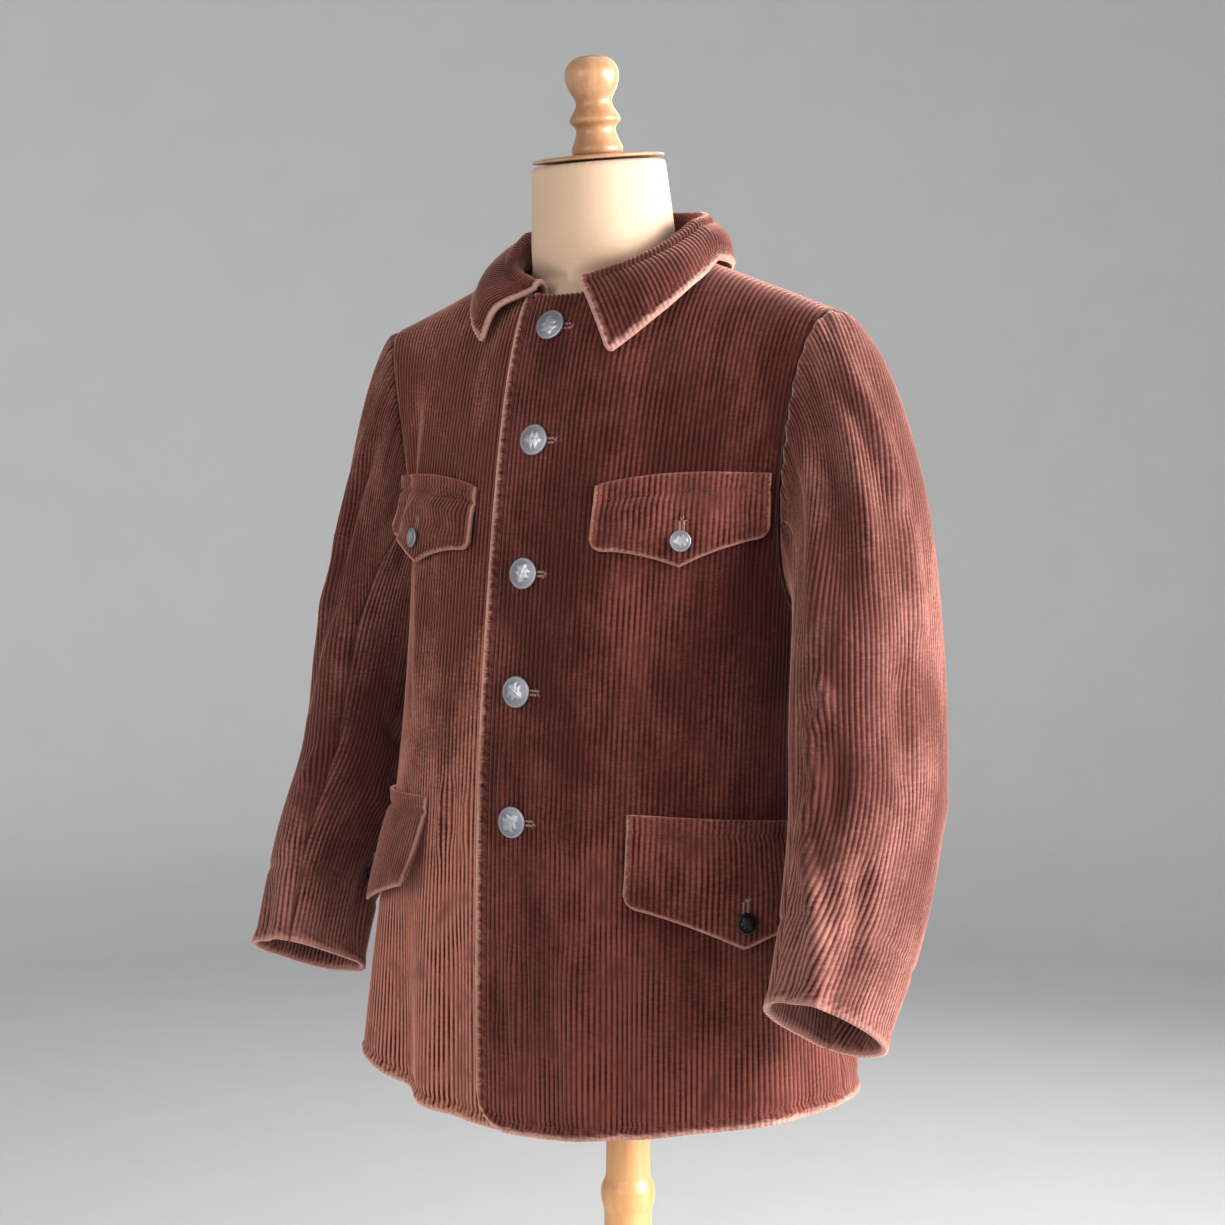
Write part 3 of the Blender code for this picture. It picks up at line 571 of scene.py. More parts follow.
def cloth_shell(name, columns, rows, lay, lift, relief, finish, wall=WALL, turned_in=0.0, flipped=False):
    """A cloth piece as a closed thin shell. A grid is laid on the surface and lifted into its
    folds; then the outer layer gets its pile, and the inner layer lies one wall further in."""
    mesh = bmesh.new()
    bmesh.ops.create_grid(mesh, x_segments=columns, y_segments=rows, size=0.5)
    layers = {key: mesh.verts.layers.float.new(key) for key in MARKS + ("inside",)}
    for v in mesh.verts:
        laid = lay(v.co.x + 0.5, v.co.y + 0.5)
        v.co = laid.point
        for key in MARKS:
            v[layers[key]] = getattr(laid, key)
    bmesh.ops.remove_doubles(mesh, verts=mesh.verts[:], dist=0.00002)
    sign = -1.0 if flipped else 1.0
    out = mesh.verts.layers.float_vector.new("out")

    def laid_at(v):
        return Laid(v.co, *(v[layers[key]] for key in MARKS))

    mesh.normal_update()
    for v in mesh.verts:
        v.co = v.co + v.normal * sign * lift(laid_at(v))
    mesh.normal_update()
    for v in mesh.verts:
        v[out] = v.normal * sign
    outer = mesh.verts[:]
    copied = bmesh.ops.extrude_face_region(mesh, geom=mesh.faces[:], use_keep_orig=True)
    inner = [v for v in copied["geom"] if isinstance(v, bmesh.types.BMVert)]
    for v in outer:
        v.co = v.co + v[out] * relief(laid_at(v))
    for v in inner:
        laid = laid_at(v)
        shown = 1.0 if laid.rim < turned_in else 0.0
        depth = wall + shown * (pile_height(laid.across, laid.up, 0.0) - WALE_SINK)
        v.co = v.co - v[out] * (depth - EDGE_INSIDE * edge_round(laid.rim))
        v[layers["inside"]] = 1.0 - shown
    mesh.verts.layers.float_vector.remove(out)
    bmesh.ops.recalc_face_normals(mesh, faces=mesh.faces[:])
    made = piece(name, mesh, finish)
    return made


# Each set holds the cloth's own colours and, as valley, a dark painted shade for the grooves between the
# wales.
Dye = namedtuple("Dye", "valley ridge light worn")
BROWN_DYE_AND_SHADE = Dye((0.020, 0.0042, 0.0034, 1), (0.066, 0.0140, 0.0108, 1), (0.190, 0.054, 0.041, 1),
                (0.58, 0.325, 0.268, 1))


def corduroy_finish(name, dye_and_shade, seed=0.0, pucker_light_and_shade=0.30, low_lightening=0.30, gap=0.0, lightened_to=1.02, lightening_cut=0.0):
    """Cotton pile: painted shade in the valleys, along seams and on the inner face; soft ridges worn
    lighter in places and lighter lower down; painted highlights and shade on the puckers by the stitching;
    pale worn edges.
    """
    made, shader, start = new_finish(name, {
        "Roughness": 0.92, "Specular IOR Level": 0.06, "Sheen Weight": 1.0, "Sheen Roughness": 0.42,
        "Sheen Tint": (1.0, 0.56, 0.47, 1.0)})
    across = mark(start, "across")
    up = mark(start, "up")
    on_cloth = start.node("ShaderNodeCombineXYZ", None, {0: across, 1: up, 2: seed})
    cloud = speckle(start, on_cloth, (17.0, 9.0, 1.0), 3.0, 0.6)
    patch = speckle(start, on_cloth, (46.0, 30.0, 1.0), 2.0, 0.5)
    rungs = speckle(start, on_cloth, (150.0, 420.0, 1.0), 2.0, 0.6)
    hairs = speckle(start, on_cloth, (2600.0, 900.0, 1.0), 2.0, 0.6)
    ridge = 0.5 - 0.5 * (across * (2 * pi / WALE)).cos()
    shown = (ridge + (rungs - 0.5) * 0.6).clear_of(gap, 0.95)
    # The ridges are lighter in random worn places and lower down; the right front's extra lightening from
    # its arguments is painted light.
    low = 1.0 - up.clear_of(0.74, lightened_to)
    lightened = (cloud * 1.3 + patch * 0.35 + rungs * 0.40 + low * low_lightening - lightening_cut).clear_of(0.84, 1.36)
    shown = shown + (1.0 - shown) * patch.clear_of(0.35, 0.75) * 0.45
    # Painted shade: where the ridge mask is low, the valleys between the wales take the dark valley colour.
    colour = shown.blend(dye_and_shade.valley, dye_and_shade.ridge)
    colour = (shown * lightened).blend(colour, dye_and_shade.light)
    colour = (hairs.clear_of(0.55, 0.80) * 0.30).blend(colour, dye_and_shade.light)
    colour = (patch.clear_of(0.50, 0.72) * 0.50).blend(colour, dye_and_shade.valley)
    rim = mark(start, "rim")
    band = rim.clear_of(0.0015, 0.0040) * (1.0 - rim.clear_of(0.0080, 0.0105))
    # Painted highlight on the crests of the puckers by the stitching, and painted shade in their troughs.
    pucker = 0.5 - 0.5 * ((up + across * 0.6) * (2 * pi / PUCKER_PITCH) + patch * 3.0).cos()
    colour = (band * (1.0 - pucker) * (1.2 * pucker_light_and_shade)).blend(colour, dye_and_shade.light)
    colour = (band * pucker.clear_of(0.45, 1.0) * pucker_light_and_shade).blend(colour, dye_and_shade.valley)
    edge = 1.0 - (rim + (rungs - 0.5) * 0.008).clear_of(0.0006, 0.0062)
    colour = (edge * (0.62 + 0.33 * cloud.clear_of(0.36, 0.60))).blend(colour, dye_and_shade.worn)
    # Painted shade: the cloth is darkened towards the valley colour within a couple of millimetres of a
    # seam.
    seam = mark(start, "seam").clear_of(0.0002, 0.0020)
    colour = ((1.0 - seam) * 0.35).blend(colour, dye_and_shade.valley)
    # Painted shade: the inner face of the cloth is blended most of the way to the dark valley colour.
    colour = (mark(start, "inside") * 0.75).blend(colour, dye_and_shade.valley)
    colour.feed(shader, "Base Color")
    rough_skin(start, shader, 0.45, 0.0005, hairs * 0.6 + rungs * 0.8)
    return made


BACK_ROWS = 80
TURNED_IN = 0.026
back_columns = ceil(max(edge_along(0.0, False), edge_along(1.0, False)) / COLUMN)
back_cloth = corduroy_finish("corduroy_back", BROWN_DYE_AND_SHADE, 3.0)
for label, side in (("left", 1), ("right", -1)):
    def lay(s, t):
        level = 2.0 * t
        end = edge_along(level, False)
        along = min(SEAM / 2 + s * back_columns * COLUMN, end + armhole_allowance(level))
        point = body_point(along, level, False)
        if level > 1.9:
            point.y += SEAM * (level - 1.9) / 0.1
        rim = level * SKIRT_LENGTH
        seam = min(end - along, along)
        if along > NECK_HALF_WIDTH:
            seam = min(seam, (2.0 - level) * UPPER_LENGTH)
        height = point.z
        if side < 0:
            point = mirrored(point)
            point.z += right_rise(along, level, False)
        return Laid(point, along, height, rim, seam)

    def lift(laid):
        folds = creased(BACK_CREASES, laid.across + 0.008 * side, laid.up)
        folds += uneven(laid.across, laid.up, 3.0 + side)
        return folds * smooth(laid.seam / SEAM_FADE) + sunk(laid.seam)

    def relief(laid):
        return cord_relief(laid, 11.0 + side)

    panel = cloth_shell(f"jacket_back_{label}", back_columns, BACK_ROWS, lay, lift, relief, back_cloth,
                        turned_in=TURNED_IN, flipped=side > 0)
    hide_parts(f"back_{label}")

# Fronts of the jacket: one corduroy panel each side, the left lapping over the right.
# Front edge and hem are turned in and topstitched; the cloth swings out in folds at the hem.
EDGE_PAST_CENTRE = 0.036
LAP_LIFT = WALL + 0.0009
HEM_CORNER = 0.030
HEM_CORNER_LEVEL = 0.24
TOP_CORNER = 0.018
TOP_CORNER_LEVEL = 1.8
LAP_BEGIN = 0.045
LAP_EASE = 0.05
FACING_STEP = 0.008
FACING_LEVELS = 0.02
FoldRow = namedtuple("FoldRow", "side along half_width low high depth")
FOLDS = metres(FoldRow, (
    (-1, 92, 28, 700, 1020, 6), (-1, 134, 34, 700, 1040, -12), (+1, 150, 40, 700, 880, -5),
    (+1, 212, 38, 700, 900, 6),
), ("side",))
FRONT_CREASES = {
    +1: metres(CreaseRow, (
        (4, 800, -2, 890, 8, 2.2), (15, 790, 12, 880, 9, -2.2), (-16, 830, -14, 900, 7, -1.6),
        (-14, 995, -10, 1050, 6, 1.8), (60, 740, 52, 900, 20, 4.2), (95, 740, 90, 890, 20, -4.2),
        (130, 1060, 125, 1190, 18, 3.6), (105, 1080, 100, 1180, 15, -3.2), (75, 1090, 72, 1190, 14, 2.6),
        (190, 1150, 165, 1330, 20, -3.5), (60, 1200, 30, 1330, 22, 2), (20, 1000, 80, 960, 16, 1.6),
        (20, 1090, 90, 1060, 18, -1.4),
    )),
    -1: metres(CreaseRow, (
        (52, 960, 50, 1010, 7, 2.5), (66, 965, 65, 1020, 7, -2.5), (80, 950, 78, 1015, 8, 2.8),
        (190, 720, 185, 940, 30, 4.5), (60, 730, 58, 900, 16, -2.5), (120, 1060, 140, 1200, 20, 2.5),
        (190, 1160, 160, 1330, 20, -3.5),
    )),
}


def corner_cut(radius, gap):
    """How far a rounded corner cuts into an edge, this far from the end."""
    return radius - sqrt(radius ** 2 - (radius - gap) ** 2)


def fold_depth(along, z, side):
    total = 0.0
    for fold in FOLDS:
        if fold.side == side:
            across = fade(abs(along - fold.along) / fold.half_width)
            total += fold.depth * across * fade((z - fold.low) / (fold.high - fold.low))
    return total


def front_lift(along, z, side, seam):
    """Folds, creases and the lap of a front, as a distance out from the body surface."""
    clear = smooth((along - LAP_BEGIN) / LAP_EASE)
    lap = LAP_LIFT * (1.0 - clear) if side > 0 else 0.0
    worn = uneven(along, z, 6.0 + side) * clear + creased(FRONT_CREASES[side], along, z)
    return lap + fold_depth(along, z, side) + worn * smooth(seam / SEAM_FADE)


def front_skin(along, level, side, lift=0.0):
    """A place on a finished front and the way it faces, for what is sewn on it."""
    a = abs(along)
    point = body_point(a, level, True)
    across = body_point(a + FACING_STEP, level, True) - body_point(max(a - FACING_STEP, 0.0), level, True)
    above = body_point(a, min(level + FACING_LEVELS, 2.0), True)
    up = above - body_point(a, max(level - FACING_LEVELS, 0.0), True)
    facing = across.cross(up).normalized()
    if along < 0.0:
        point = mirrored(point)
        facing = mirrored(facing)
    point = point + facing * (front_lift(along, point.z, side, edge_along(level, True) - along) + lift)
    if side > 0:
        return point, facing
    point.z += right_rise(along, level, True)
    return mirrored(point), mirrored(facing)


FRONT_ROWS = 150
front_columns = ceil((EDGE_PAST_CENTRE + edge_along(0.0, True)) / COLUMN)
# The right front gets a lighter, more orange copy of the corduroy colours and stronger lightening of its
# ridges: painted light for the light it catches. Its valley colour is painted shade.
RIGHT_FRONT_PAINTED_LIGHT_AND_SHADE = Dye((0.021, 0.0046, 0.0034, 1), (0.138, 0.0345, 0.0225, 1), (0.480, 0.182, 0.130, 1),
                 (0.54, 0.290, 0.225, 1))
front_cloth = {+1: corduroy_finish("corduroy_left_front", BROWN_DYE_AND_SHADE, 1.0),
               -1: corduroy_finish("corduroy_right_front", RIGHT_FRONT_PAINTED_LIGHT_AND_SHADE, 2.0, low_lightening=0.85, gap=0.18,
                                   lightened_to=1.20, lightening_cut=0.14)}
for label, side in (("left", 1), ("right", -1)):
    def lay(s, t):
        level = 2.0 * t
        end = edge_along(level, True)
        along = min(s * front_columns * COLUMN - EDGE_PAST_CENTRE, end + armhole_allowance(level))
        from_edge = along + EDGE_PAST_CENTRE
        rim = min(from_edge, level * SKIRT_LENGTH)
        seam = end - along
        if along > NECK_HALF_WIDTH:
            seam = min(seam, (2.0 - level) * UPPER_LENGTH)
        if level < HEM_CORNER_LEVEL and from_edge < HEM_CORNER:
            share = 1.0 - level / HEM_CORNER_LEVEL
            level += share * corner_cut(HEM_CORNER, from_edge) / SKIRT_LENGTH
        elif level > TOP_CORNER_LEVEL and from_edge < TOP_CORNER:
            rim = min(rim, 0.004 + (2.0 - level) * UPPER_LENGTH)
            share = (level - TOP_CORNER_LEVEL) / (2.0 - TOP_CORNER_LEVEL)
            level -= share * corner_cut(TOP_CORNER, from_edge) / UPPER_LENGTH
        point = body_point(abs(along), level, True)
        height = point.z
        if (along < 0.0) != (side < 0):
            point = mirrored(point)
        if side < 0:
            point.z += right_rise(along, level, True)
        return Laid(point, along, height, rim, seam)

    def lift(laid):
        return front_lift(laid.across, laid.up, side, laid.seam) + sunk(laid.seam)

    def relief(laid):
        height = cord_relief(laid, 5.0 + side)
        if laid.rim < STITCH_IN:
            band = sin(pi * laid.rim / STITCH_IN)
            wave = cos(2 * pi * (laid.up + 0.6 * laid.across) / PUCKER_PITCH)
            height += PUCKER_DEPTH * band * wave
        return height

    panel = cloth_shell(f"jacket_front_{label}", front_columns, FRONT_ROWS, lay, lift, relief,
                        front_cloth[side], turned_in=TURNED_IN, flipped=side < 0)
    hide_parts(f"front_{label}")

# Sleeves: each cut in a top and an under piece, set into the armhole with a little fullness.
# The cuffs are plain, turned in deep and stitched round; the elbows are creased from wear.
SleeveRing = namedtuple("SleeveRing", "x y z thick wide plumb")
LEFT_SLEEVE = metres(SleeveRing, (
    (242, -47, 1100, 54, 82, 0.0), (250, -64, 1010, 55, 82, 0.0), (256, -100, 930, 51, 74, 0.0),
    (256, -144, 854, 42, 58, 0.0),
), ("plumb",))
RIGHT_SLEEVE = metres(SleeveRing, (
    (230, -36, 1100, 44, 79, 0.0), (236, -56, 1010, 42, 73, 0.0), (242, -96, 930, 37, 64, 0.1),
    (231, -138, 853, 37, 58, 0.22),
), ("plumb",))
INNER_FLATNESS = 0.80
SLEEVE_SQUARENESS = 2.2
SLEEVE_SEAM_ANGLE = radians(118)
UNDERARM_REACH = 0.030
CAP_SHARE = 0.42
CUFF_TURN_IN = 0.070
CUFF_RUFFLE = 0.0065
CUFF_SWELLING = 0.0022
HEAD_RIPPLE = 0.0012
HEAD_RIPPLE_PITCH = 0.017
HEAD_FROM_Z = 1.24
ARMHOLE_STEPS = 48
LEFT_CREASES = metres(CreaseRow, (
    (40, 1360, 18, 1230, 18, 4), (18, 1230, 14, 1130, 20, 3), (88, 1330, 82, 1150, 28, -4.2),
    (116, 1290, 112, 1110, 18, 3), (60, 1330, 56, 1200, 16, 2.5), (110, 1110, 99, 1092, 10, 4.5),
    (99, 1092, 119, 1068, 9, 4.5), (134, 1074, 112, 1088, 9, -3.5), (119, 1068, 110, 1030, 9, 4.5),
    (110, 1030, 120, 1000, 9, 4.5), (94, 1060, 92, 1000, 13, -4.5), (116, 996, 86, 940, 11, 5.5),
    (132, 990, 104, 925, 12, -4.5), (86, 940, 66, 900, 12, 6), (66, 900, 56, 850, 12, 5.5),
    (86, 905, 78, 850, 12, -5), (68, 985, 46, 905, 14, -4), (40, 1120, 34, 1020, 20, -3),
    (-60, 1150, -90, 1060, 24, -1.8), (-50, 1020, -85, 960, 22, 1.5),
))
RIGHT_CREASES = metres(CreaseRow, (
    (72, 1300, 66, 1180, 14, 3.5), (92, 1300, 86, 1165, 14, -3.5), (84, 1230, 70, 1130, 13, 3),
    (100, 1180, 70, 1060, 13, -3), (120, 1048, 82, 1000, 12, 4), (126, 1030, 90, 982, 12, -4),
    (120, 975, 78, 946, 9, 2.8), (90, 930, 86, 860, 12, 3), (68, 920, 66, 860, 14, -3),
    (-50, 1140, -85, 1050, 24, -1.8), (-30, 1020, -70, 960, 22, 1.5),
))
UNDER_CREASES = metres(CreaseRow, (
    (-30, 1050, 20, 1010, 12, -3), (-20, 990, 30, 960, 12, 3), (10, 930, 15, 860, 14, -3),
))

armhole_runs = {}
for is_front in (True, False):
    run = []
    for step in range(ARMHOLE_STEPS + 1):
        level = 2.0 - step / ARMHOLE_STEPS
        run.append(body_point(edge_along(level, is_front) + SEAM / 2, level, is_front))
    armhole_runs[is_front] = (run, run_lengths(run))


def armhole_point(angle):
    """Angle 0 is the shoulder tip, a quarter turn the front, a half turn under the arm."""
    turn = angle % (2 * pi)
    is_front = turn <= pi
    share = turn / pi if is_front else 2.0 - turn / pi
    run, lengths = armhole_runs[is_front]
    return run_at(run, lengths, share * lengths[-1])


def sleeve_ring(rings, place, angle):
    """A point of the hanging part; place runs from 0 at the first ring to 1 at the cuff."""
    Row = namedtuple("Row", ("share",) + SleeveRing._fields)
    rows = tuple(Row(k / (len(rings) - 1), *ring) for k, ring in enumerate(rings))
    here = interpolate(rows, place)
    before = interpolate(rows, max(place - 0.02, 0.0))
    after = interpolate(rows, min(place + 0.02, 1.0))
    run = Vector((after.x - before.x, after.y - before.y, after.z - before.z)).normalized()
    run = (run + Vector((0.0, 0.0, -here.plumb))).normalized()
    side = Vector((1.0, 0.0, 0.0))
    side = (side - run * side.dot(run)).normalized()
    front = side.cross(run)
    if front.y > 0.0:
        front = -front
    out = here.thick * squared(cos(angle), SLEEVE_SQUARENESS)
    out *= 1.0 if out > 0.0 else INNER_FLATNESS
    ahead = here.wide * squared(sin(angle), SLEEVE_SQUARENESS)
    return Vector((here.x, here.y, here.z)) + side * out + front * ahead, run


def sleeve_point(rings, angle, along, cap_reach):
    """The sleeve on the wearer's left; along runs from the armhole seam to the cuff edge."""
    if along >= CAP_SHARE:
        return sleeve_ring(rings, (along - CAP_SHARE) / (1.0 - CAP_SHARE), angle)[0]
    high = 0.5 + 0.5 * cos(angle)
    start = armhole_point(angle) + Vector((1.0, 0.0, 1.0 - high)) * 2 * SEAM
    end, run = sleeve_ring(rings, 0.0, angle)
    fall = sin(atan2(NECK_POINT.z - SHOULDER_TIP.z, SHOULDER_TIP.x - NECK_HALF_WIDTH))
    reach = UNDERARM_REACH + (cap_reach - UNDERARM_REACH) * high
    leave = Vector((1.0, 0.0, -fall * high)).normalized() * reach
    arrive = run * (end - start).length * (0.9 + 0.35 * high)
    a, b, c, d = curve_weights(along / CAP_SHARE)
    return a * start + b * leave + c * end + d * arrive


SLEEVE_ROWS = 72
CAP_TWIST = 0.045
ROUND_STEPS = 120
HANG_LENGTH = 0.50
CREASE_DEPTH = 1.5
Sleeve = namedtuple("Sleeve", "label rings reach side creases seed")
SLEEVES = (
    Sleeve("left", LEFT_SLEEVE, 0.150, 1, LEFT_CREASES, 21.0),
    Sleeve("right", RIGHT_SLEEVE, 0.115, -1, RIGHT_CREASES, 23.0),
)
FADED_DYE_AND_SHADE = Dye((0.030, 0.0074, 0.0060, 1), (0.110, 0.0320, 0.0260, 1), (0.310, 0.130, 0.106, 1),
                (0.42, 0.205, 0.165, 1))
sleeve_cloth = corduroy_finish("corduroy_sleeves", FADED_DYE_AND_SHADE, 5.0)
sleeve_runs = {}
for sleeve in SLEEVES:
    for row in range(SLEEVE_ROWS + 1):
        turns = [2 * pi * k / ROUND_STEPS - SLEEVE_SEAM_ANGLE for k in range(ROUND_STEPS + 1)]
        run = [sleeve_point(sleeve.rings, turn, row / SLEEVE_ROWS, sleeve.reach) for turn in turns]
        sleeve_runs[sleeve.label, row] = (turns, run, run_lengths(run))


def sleeve_distance(label, row, turn):
    """Distance round a sleeve's row, from the back seam to a turn."""
    turns, run, lengths = sleeve_runs[label, row]
    place = (turn - turns[0]) / (2 * pi) * ROUND_STEPS
    k = min(int(place), ROUND_STEPS - 1)
    return lengths[k] + (lengths[k + 1] - lengths[k]) * (place - k)


def cap_twist(share):
    """How far the wales of the sleeve head have come round towards the front."""
    return CAP_TWIST * max(0.0, 1.0 - share / CAP_SHARE) ** 2


SleevePiece = namedtuple("SleevePiece", "cut begin middle end flat area")
SLEEVE_PIECES = (
    SleevePiece("top", -SLEEVE_SEAM_ANGLE, 0.0, SLEEVE_SEAM_ANGLE, (0.32, 0.60), 0.150),
    SleevePiece("under", SLEEVE_SEAM_ANGLE, pi, 2 * pi - SLEEVE_SEAM_ANGLE, (0.17, 0.44), 0.055),
)
for sleeve in SLEEVES:
    for cut in SLEEVE_PIECES:
        reaches = []
        for row in range(SLEEVE_ROWS + 1):
            begin, middle, end = (sleeve_distance(sleeve.label, row, turn) for turn in cut[1:4])
            twist = cap_twist(row / SLEEVE_ROWS)
            reaches.append((begin - middle + twist, end - middle + twist, middle - twist))
        first = floor(min(r[0] for r in reaches) / COLUMN)
        last = ceil(max(r[1] for r in reaches) / COLUMN)

        def lay(s, t):
            row = round((1.0 - t) * SLEEVE_ROWS)
            low, high, middle = reaches[row]
            across = max(low + SEAM, min(high - SEAM, (first + s * (last - first)) * COLUMN))
            turns, run, lengths = sleeve_runs[sleeve.label, row]
            point = run_at(run, lengths, across + middle)
            share = row / SLEEVE_ROWS
            rim = (1.0 - share) * HANG_LENGTH
            seam = min(across - low, high - across, share * 0.40)
            return Laid(point if sleeve.side > 0 else mirrored(point), across, point.z, rim, seam)

        def lift(laid):
            rows = sleeve.creases if cut.cut == "top" else UNDER_CREASES
            twist = cap_twist(1.0 - laid.rim / HANG_LENGTH)
            folds = CREASE_DEPTH * creased(rows, laid.across - twist, laid.up)
            ruffled = CUFF_RUFFLE * chance(laid.across * 17.0, laid.up * 6.0, sleeve.seed)
            ruffled *= fade(laid.rim / 0.10)
            worn = 1.6 * uneven(laid.across, laid.up, sleeve.seed)
            return (folds + ruffled + worn) * smooth(laid.seam / 0.028)

        def relief(laid):
            height = cord_relief(laid, sleeve.seed, CUFF_TURN_IN)
            height += CUFF_SWELLING * fade((laid.rim - 0.002) / 0.008)
            head = fade(laid.seam / 0.030)
            if cut.cut == "top" and laid.up > HEAD_FROM_Z:
                height += HEAD_RIPPLE * head * sin(2 * pi * laid.across / HEAD_RIPPLE_PITCH)
            return height

        cloth = cloth_shell(f"jacket_sleeve_{sleeve.label}_{cut.cut}", last - first, SLEEVE_ROWS, lay, lift,
                            relief, sleeve_cloth, turned_in=CUFF_TURN_IN, flipped=sleeve.side > 0)
        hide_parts(f"sleeve_{sleeve.label}_{cut.cut}")

# Collar: one strip of corduroy with its wales across, sewn round the neck edge.
# It stands up, rolls over and falls outwards to two rounded points, topstitched near the edge.
CollarRow = namedtuple("CollarRow", "angle stand out drop slide")
COLLAR_ROWS = metres(CollarRow, (
    (15, 4.5, 29, 52, 30), (45, 10, 35, 27, 18), (66, 14.5, 35.5, 12.5, 8), (90, 20, 25, 6, 0),
    (135, 26, 27, 14, 0), (180, 29, 36, 20, 0),
), ("angle",))
COLLAR_WALL = 0.0034
COLLAR_LEFT_BEGIN = radians(15)
COLLAR_RIGHT_BEGIN = radians(29)
COLLAR_ROLL = 0.0052
COLLAR_TUCK = 0.0022
COLLAR_SEAT = 0.0008
COLLAR_POINT = 0.006
COLLAR_POINT_FROM = 0.8
COLLAR_UNEVEN = 0.0010
COLLAR_STITCH_IN = 0.0075
COLLAR_ROWS_DOWN = 26
COLLAR_SAMPLES = 240


def neck_edge(angle):
    """The neck edge, its outward direction and its run, on the wearer's left."""
    ease = cos(angle)
    end = NECK_ENDS[ease > 0]
    edge = NECK_POINT.lerp(end, abs(ease))
    edge.x = NECK_HALF_WIDTH * sin(angle)
    depth = abs(end.y - NECK_POINT.y)
    out = Vector((sin(angle) / NECK_HALF_WIDTH, -ease / depth, 0.0)).normalized()
    return edge, out, Vector((-out.y, out.x, 0.0))


@lru_cache(None)
def neck_on_front(along):
    return front_skin(along, 2.0, 1)[0]


def collar_point(turn, share):
    """A point of the collar: share runs up the stand, over the roll and down the fall."""
    flip = turn > pi
    angle = 2 * pi - turn if flip else turn
    row = interpolate(COLLAR_ROWS, degrees(angle))
    base, out, run = neck_edge(angle)
    if flip:
        base = base - out * COLLAR_TUCK * fade((angle - COLLAR_RIGHT_BEGIN) / 0.2)
    elif angle < pi / 2:
        base = neck_on_front(base.x)
    lean = -min(0.002, 0.2 * row.stand)
    top = COLLAR_SEAT + row.stand
    if share < 0.3:
        t = share / 0.3
        flat = Vector((lean * t, 0.0, COLLAR_SEAT + row.stand * t))
    elif share < 0.5:
        bend = pi * (share - 0.3) / 0.2
        middle = lean + COLLAR_ROLL
        flat = Vector((middle - COLLAR_ROLL * cos(bend), 0.0, top + COLLAR_ROLL * sin(bend)))
    else:
        t = (share - 0.5) / 0.5
        start = Vector((lean + 2 * COLLAR_ROLL, 0.0, top))
        end = Vector((row.out, row.slide, -row.drop))
        flat = start.lerp(end, t) + Vector((0.004, 0.0, 0.006)) * sin(pi * t)
    point = base + out * flat.x + run * flat.y + Vector((0.0, 0.0, flat.z))
    return mirrored(point) if flip else point


def collar_turn(around, share):
    """The turn at a share of the way round. The right end starts near the centre on the roll,
    and past the left front's edge below it."""
    below = smooth((share - 0.46) / 0.36)
    begin = COLLAR_LEFT_BEGIN + (COLLAR_RIGHT_BEGIN - COLLAR_LEFT_BEGIN) * below
    return COLLAR_LEFT_BEGIN + (2 * pi - begin - COLLAR_LEFT_BEGIN) * around


outer_edge = [collar_point(collar_turn(k / COLLAR_SAMPLES, 1.0), 1.0) for k in range(COLLAR_SAMPLES + 1)]
outer_lengths = run_lengths(outer_edge)
collar_length = outer_lengths[-1]
collar_columns = floor(collar_length / COLUMN)


@lru_cache(None)
def collar_place(distance):
    """Share of the way round where the outer edge has come a distance, and the fall's length."""
    k = max(0, min(bisect_right(outer_lengths, distance) - 1, COLLAR_SAMPLES - 1))
    t = (distance - outer_lengths[k]) / (outer_lengths[k + 1] - outer_lengths[k])
    around = (k + t) / COLLAR_SAMPLES
    fall = collar_point(collar_turn(around, 1.0), 1.0) - collar_point(collar_turn(around, 1.0), 0.6)
    return around, fall.length * 1.25


def collar_skin(distance, share):
    return collar_point(collar_turn(collar_place(distance)[0], share), share)


def lay(s, t):
    across = s * collar_length
    fall = collar_place(across)[1]
    from_end = min(across, collar_length - across)
    rim = min((1.0 - t) * 2 * fall, from_end)
    share = t
    if from_end < COLLAR_POINT and t > COLLAR_POINT_FROM:
        near = (t - COLLAR_POINT_FROM) / (1.0 - COLLAR_POINT_FROM)
        share -= near * 0.5 * corner_cut(COLLAR_POINT, from_end) / fall
    return Laid(collar_skin(across, share), across, t * 0.1, rim, 1.0)


def lift(laid):
    return COLLAR_WALL / 2 + COLLAR_UNEVEN * chance(laid.across * 22.0, laid.up * 30.0, 4.0)


def relief(laid):
    return cord_relief(laid, 31.0, COLLAR_STITCH_IN)


collar_cloth = corduroy_finish("corduroy_collar", BROWN_DYE_AND_SHADE, 7.0, low_lightening=0.0)
collar = cloth_shell("jacket_collar", collar_columns, COLLAR_ROWS_DOWN, lay, lift, relief, collar_cloth,
                     wall=COLLAR_WALL, flipped=True)
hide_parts("collar")

# Pocket flaps: pointed flaps of doubled corduroy on the chest and the hips.
# Each is sewn along its top with a second row of stitches and hangs free, its edges worn pale.
FlapSize = namedtuple("FlapSize", "start top width rise side tip curve bow")
CHEST_FLAP = FlapSize(0.057, 1.249, 0.137, 0.012, 0.050, 0.067, 1.9, 0.0060)
HIP_FLAP = FlapSize(0.096, 1.000, 0.180, -0.012, 0.070, 0.096, 1.5, 0.0015)
FLAP_WALL = 0.0030
FLAP_OFF = 0.0009
FLAP_CORNER = 0.010
FLAP_STITCH_DOWN = 0.0125
FLAP_ROWS = 22
FLAP_BULGE = 0.0035
FLAP_CREASES = metres(CreaseRow, (
    (62, -25, 134, -20, 7.5, 2.6), (134, -20, 156, -40, 8.5, 3), (164, -20, 184, -32, 12, -2.8),
    (70, -37, 122, -35, 8, -2),
))
Flap = namedtuple("Flap", "name size side front_lift tip_lift back_lift seed")
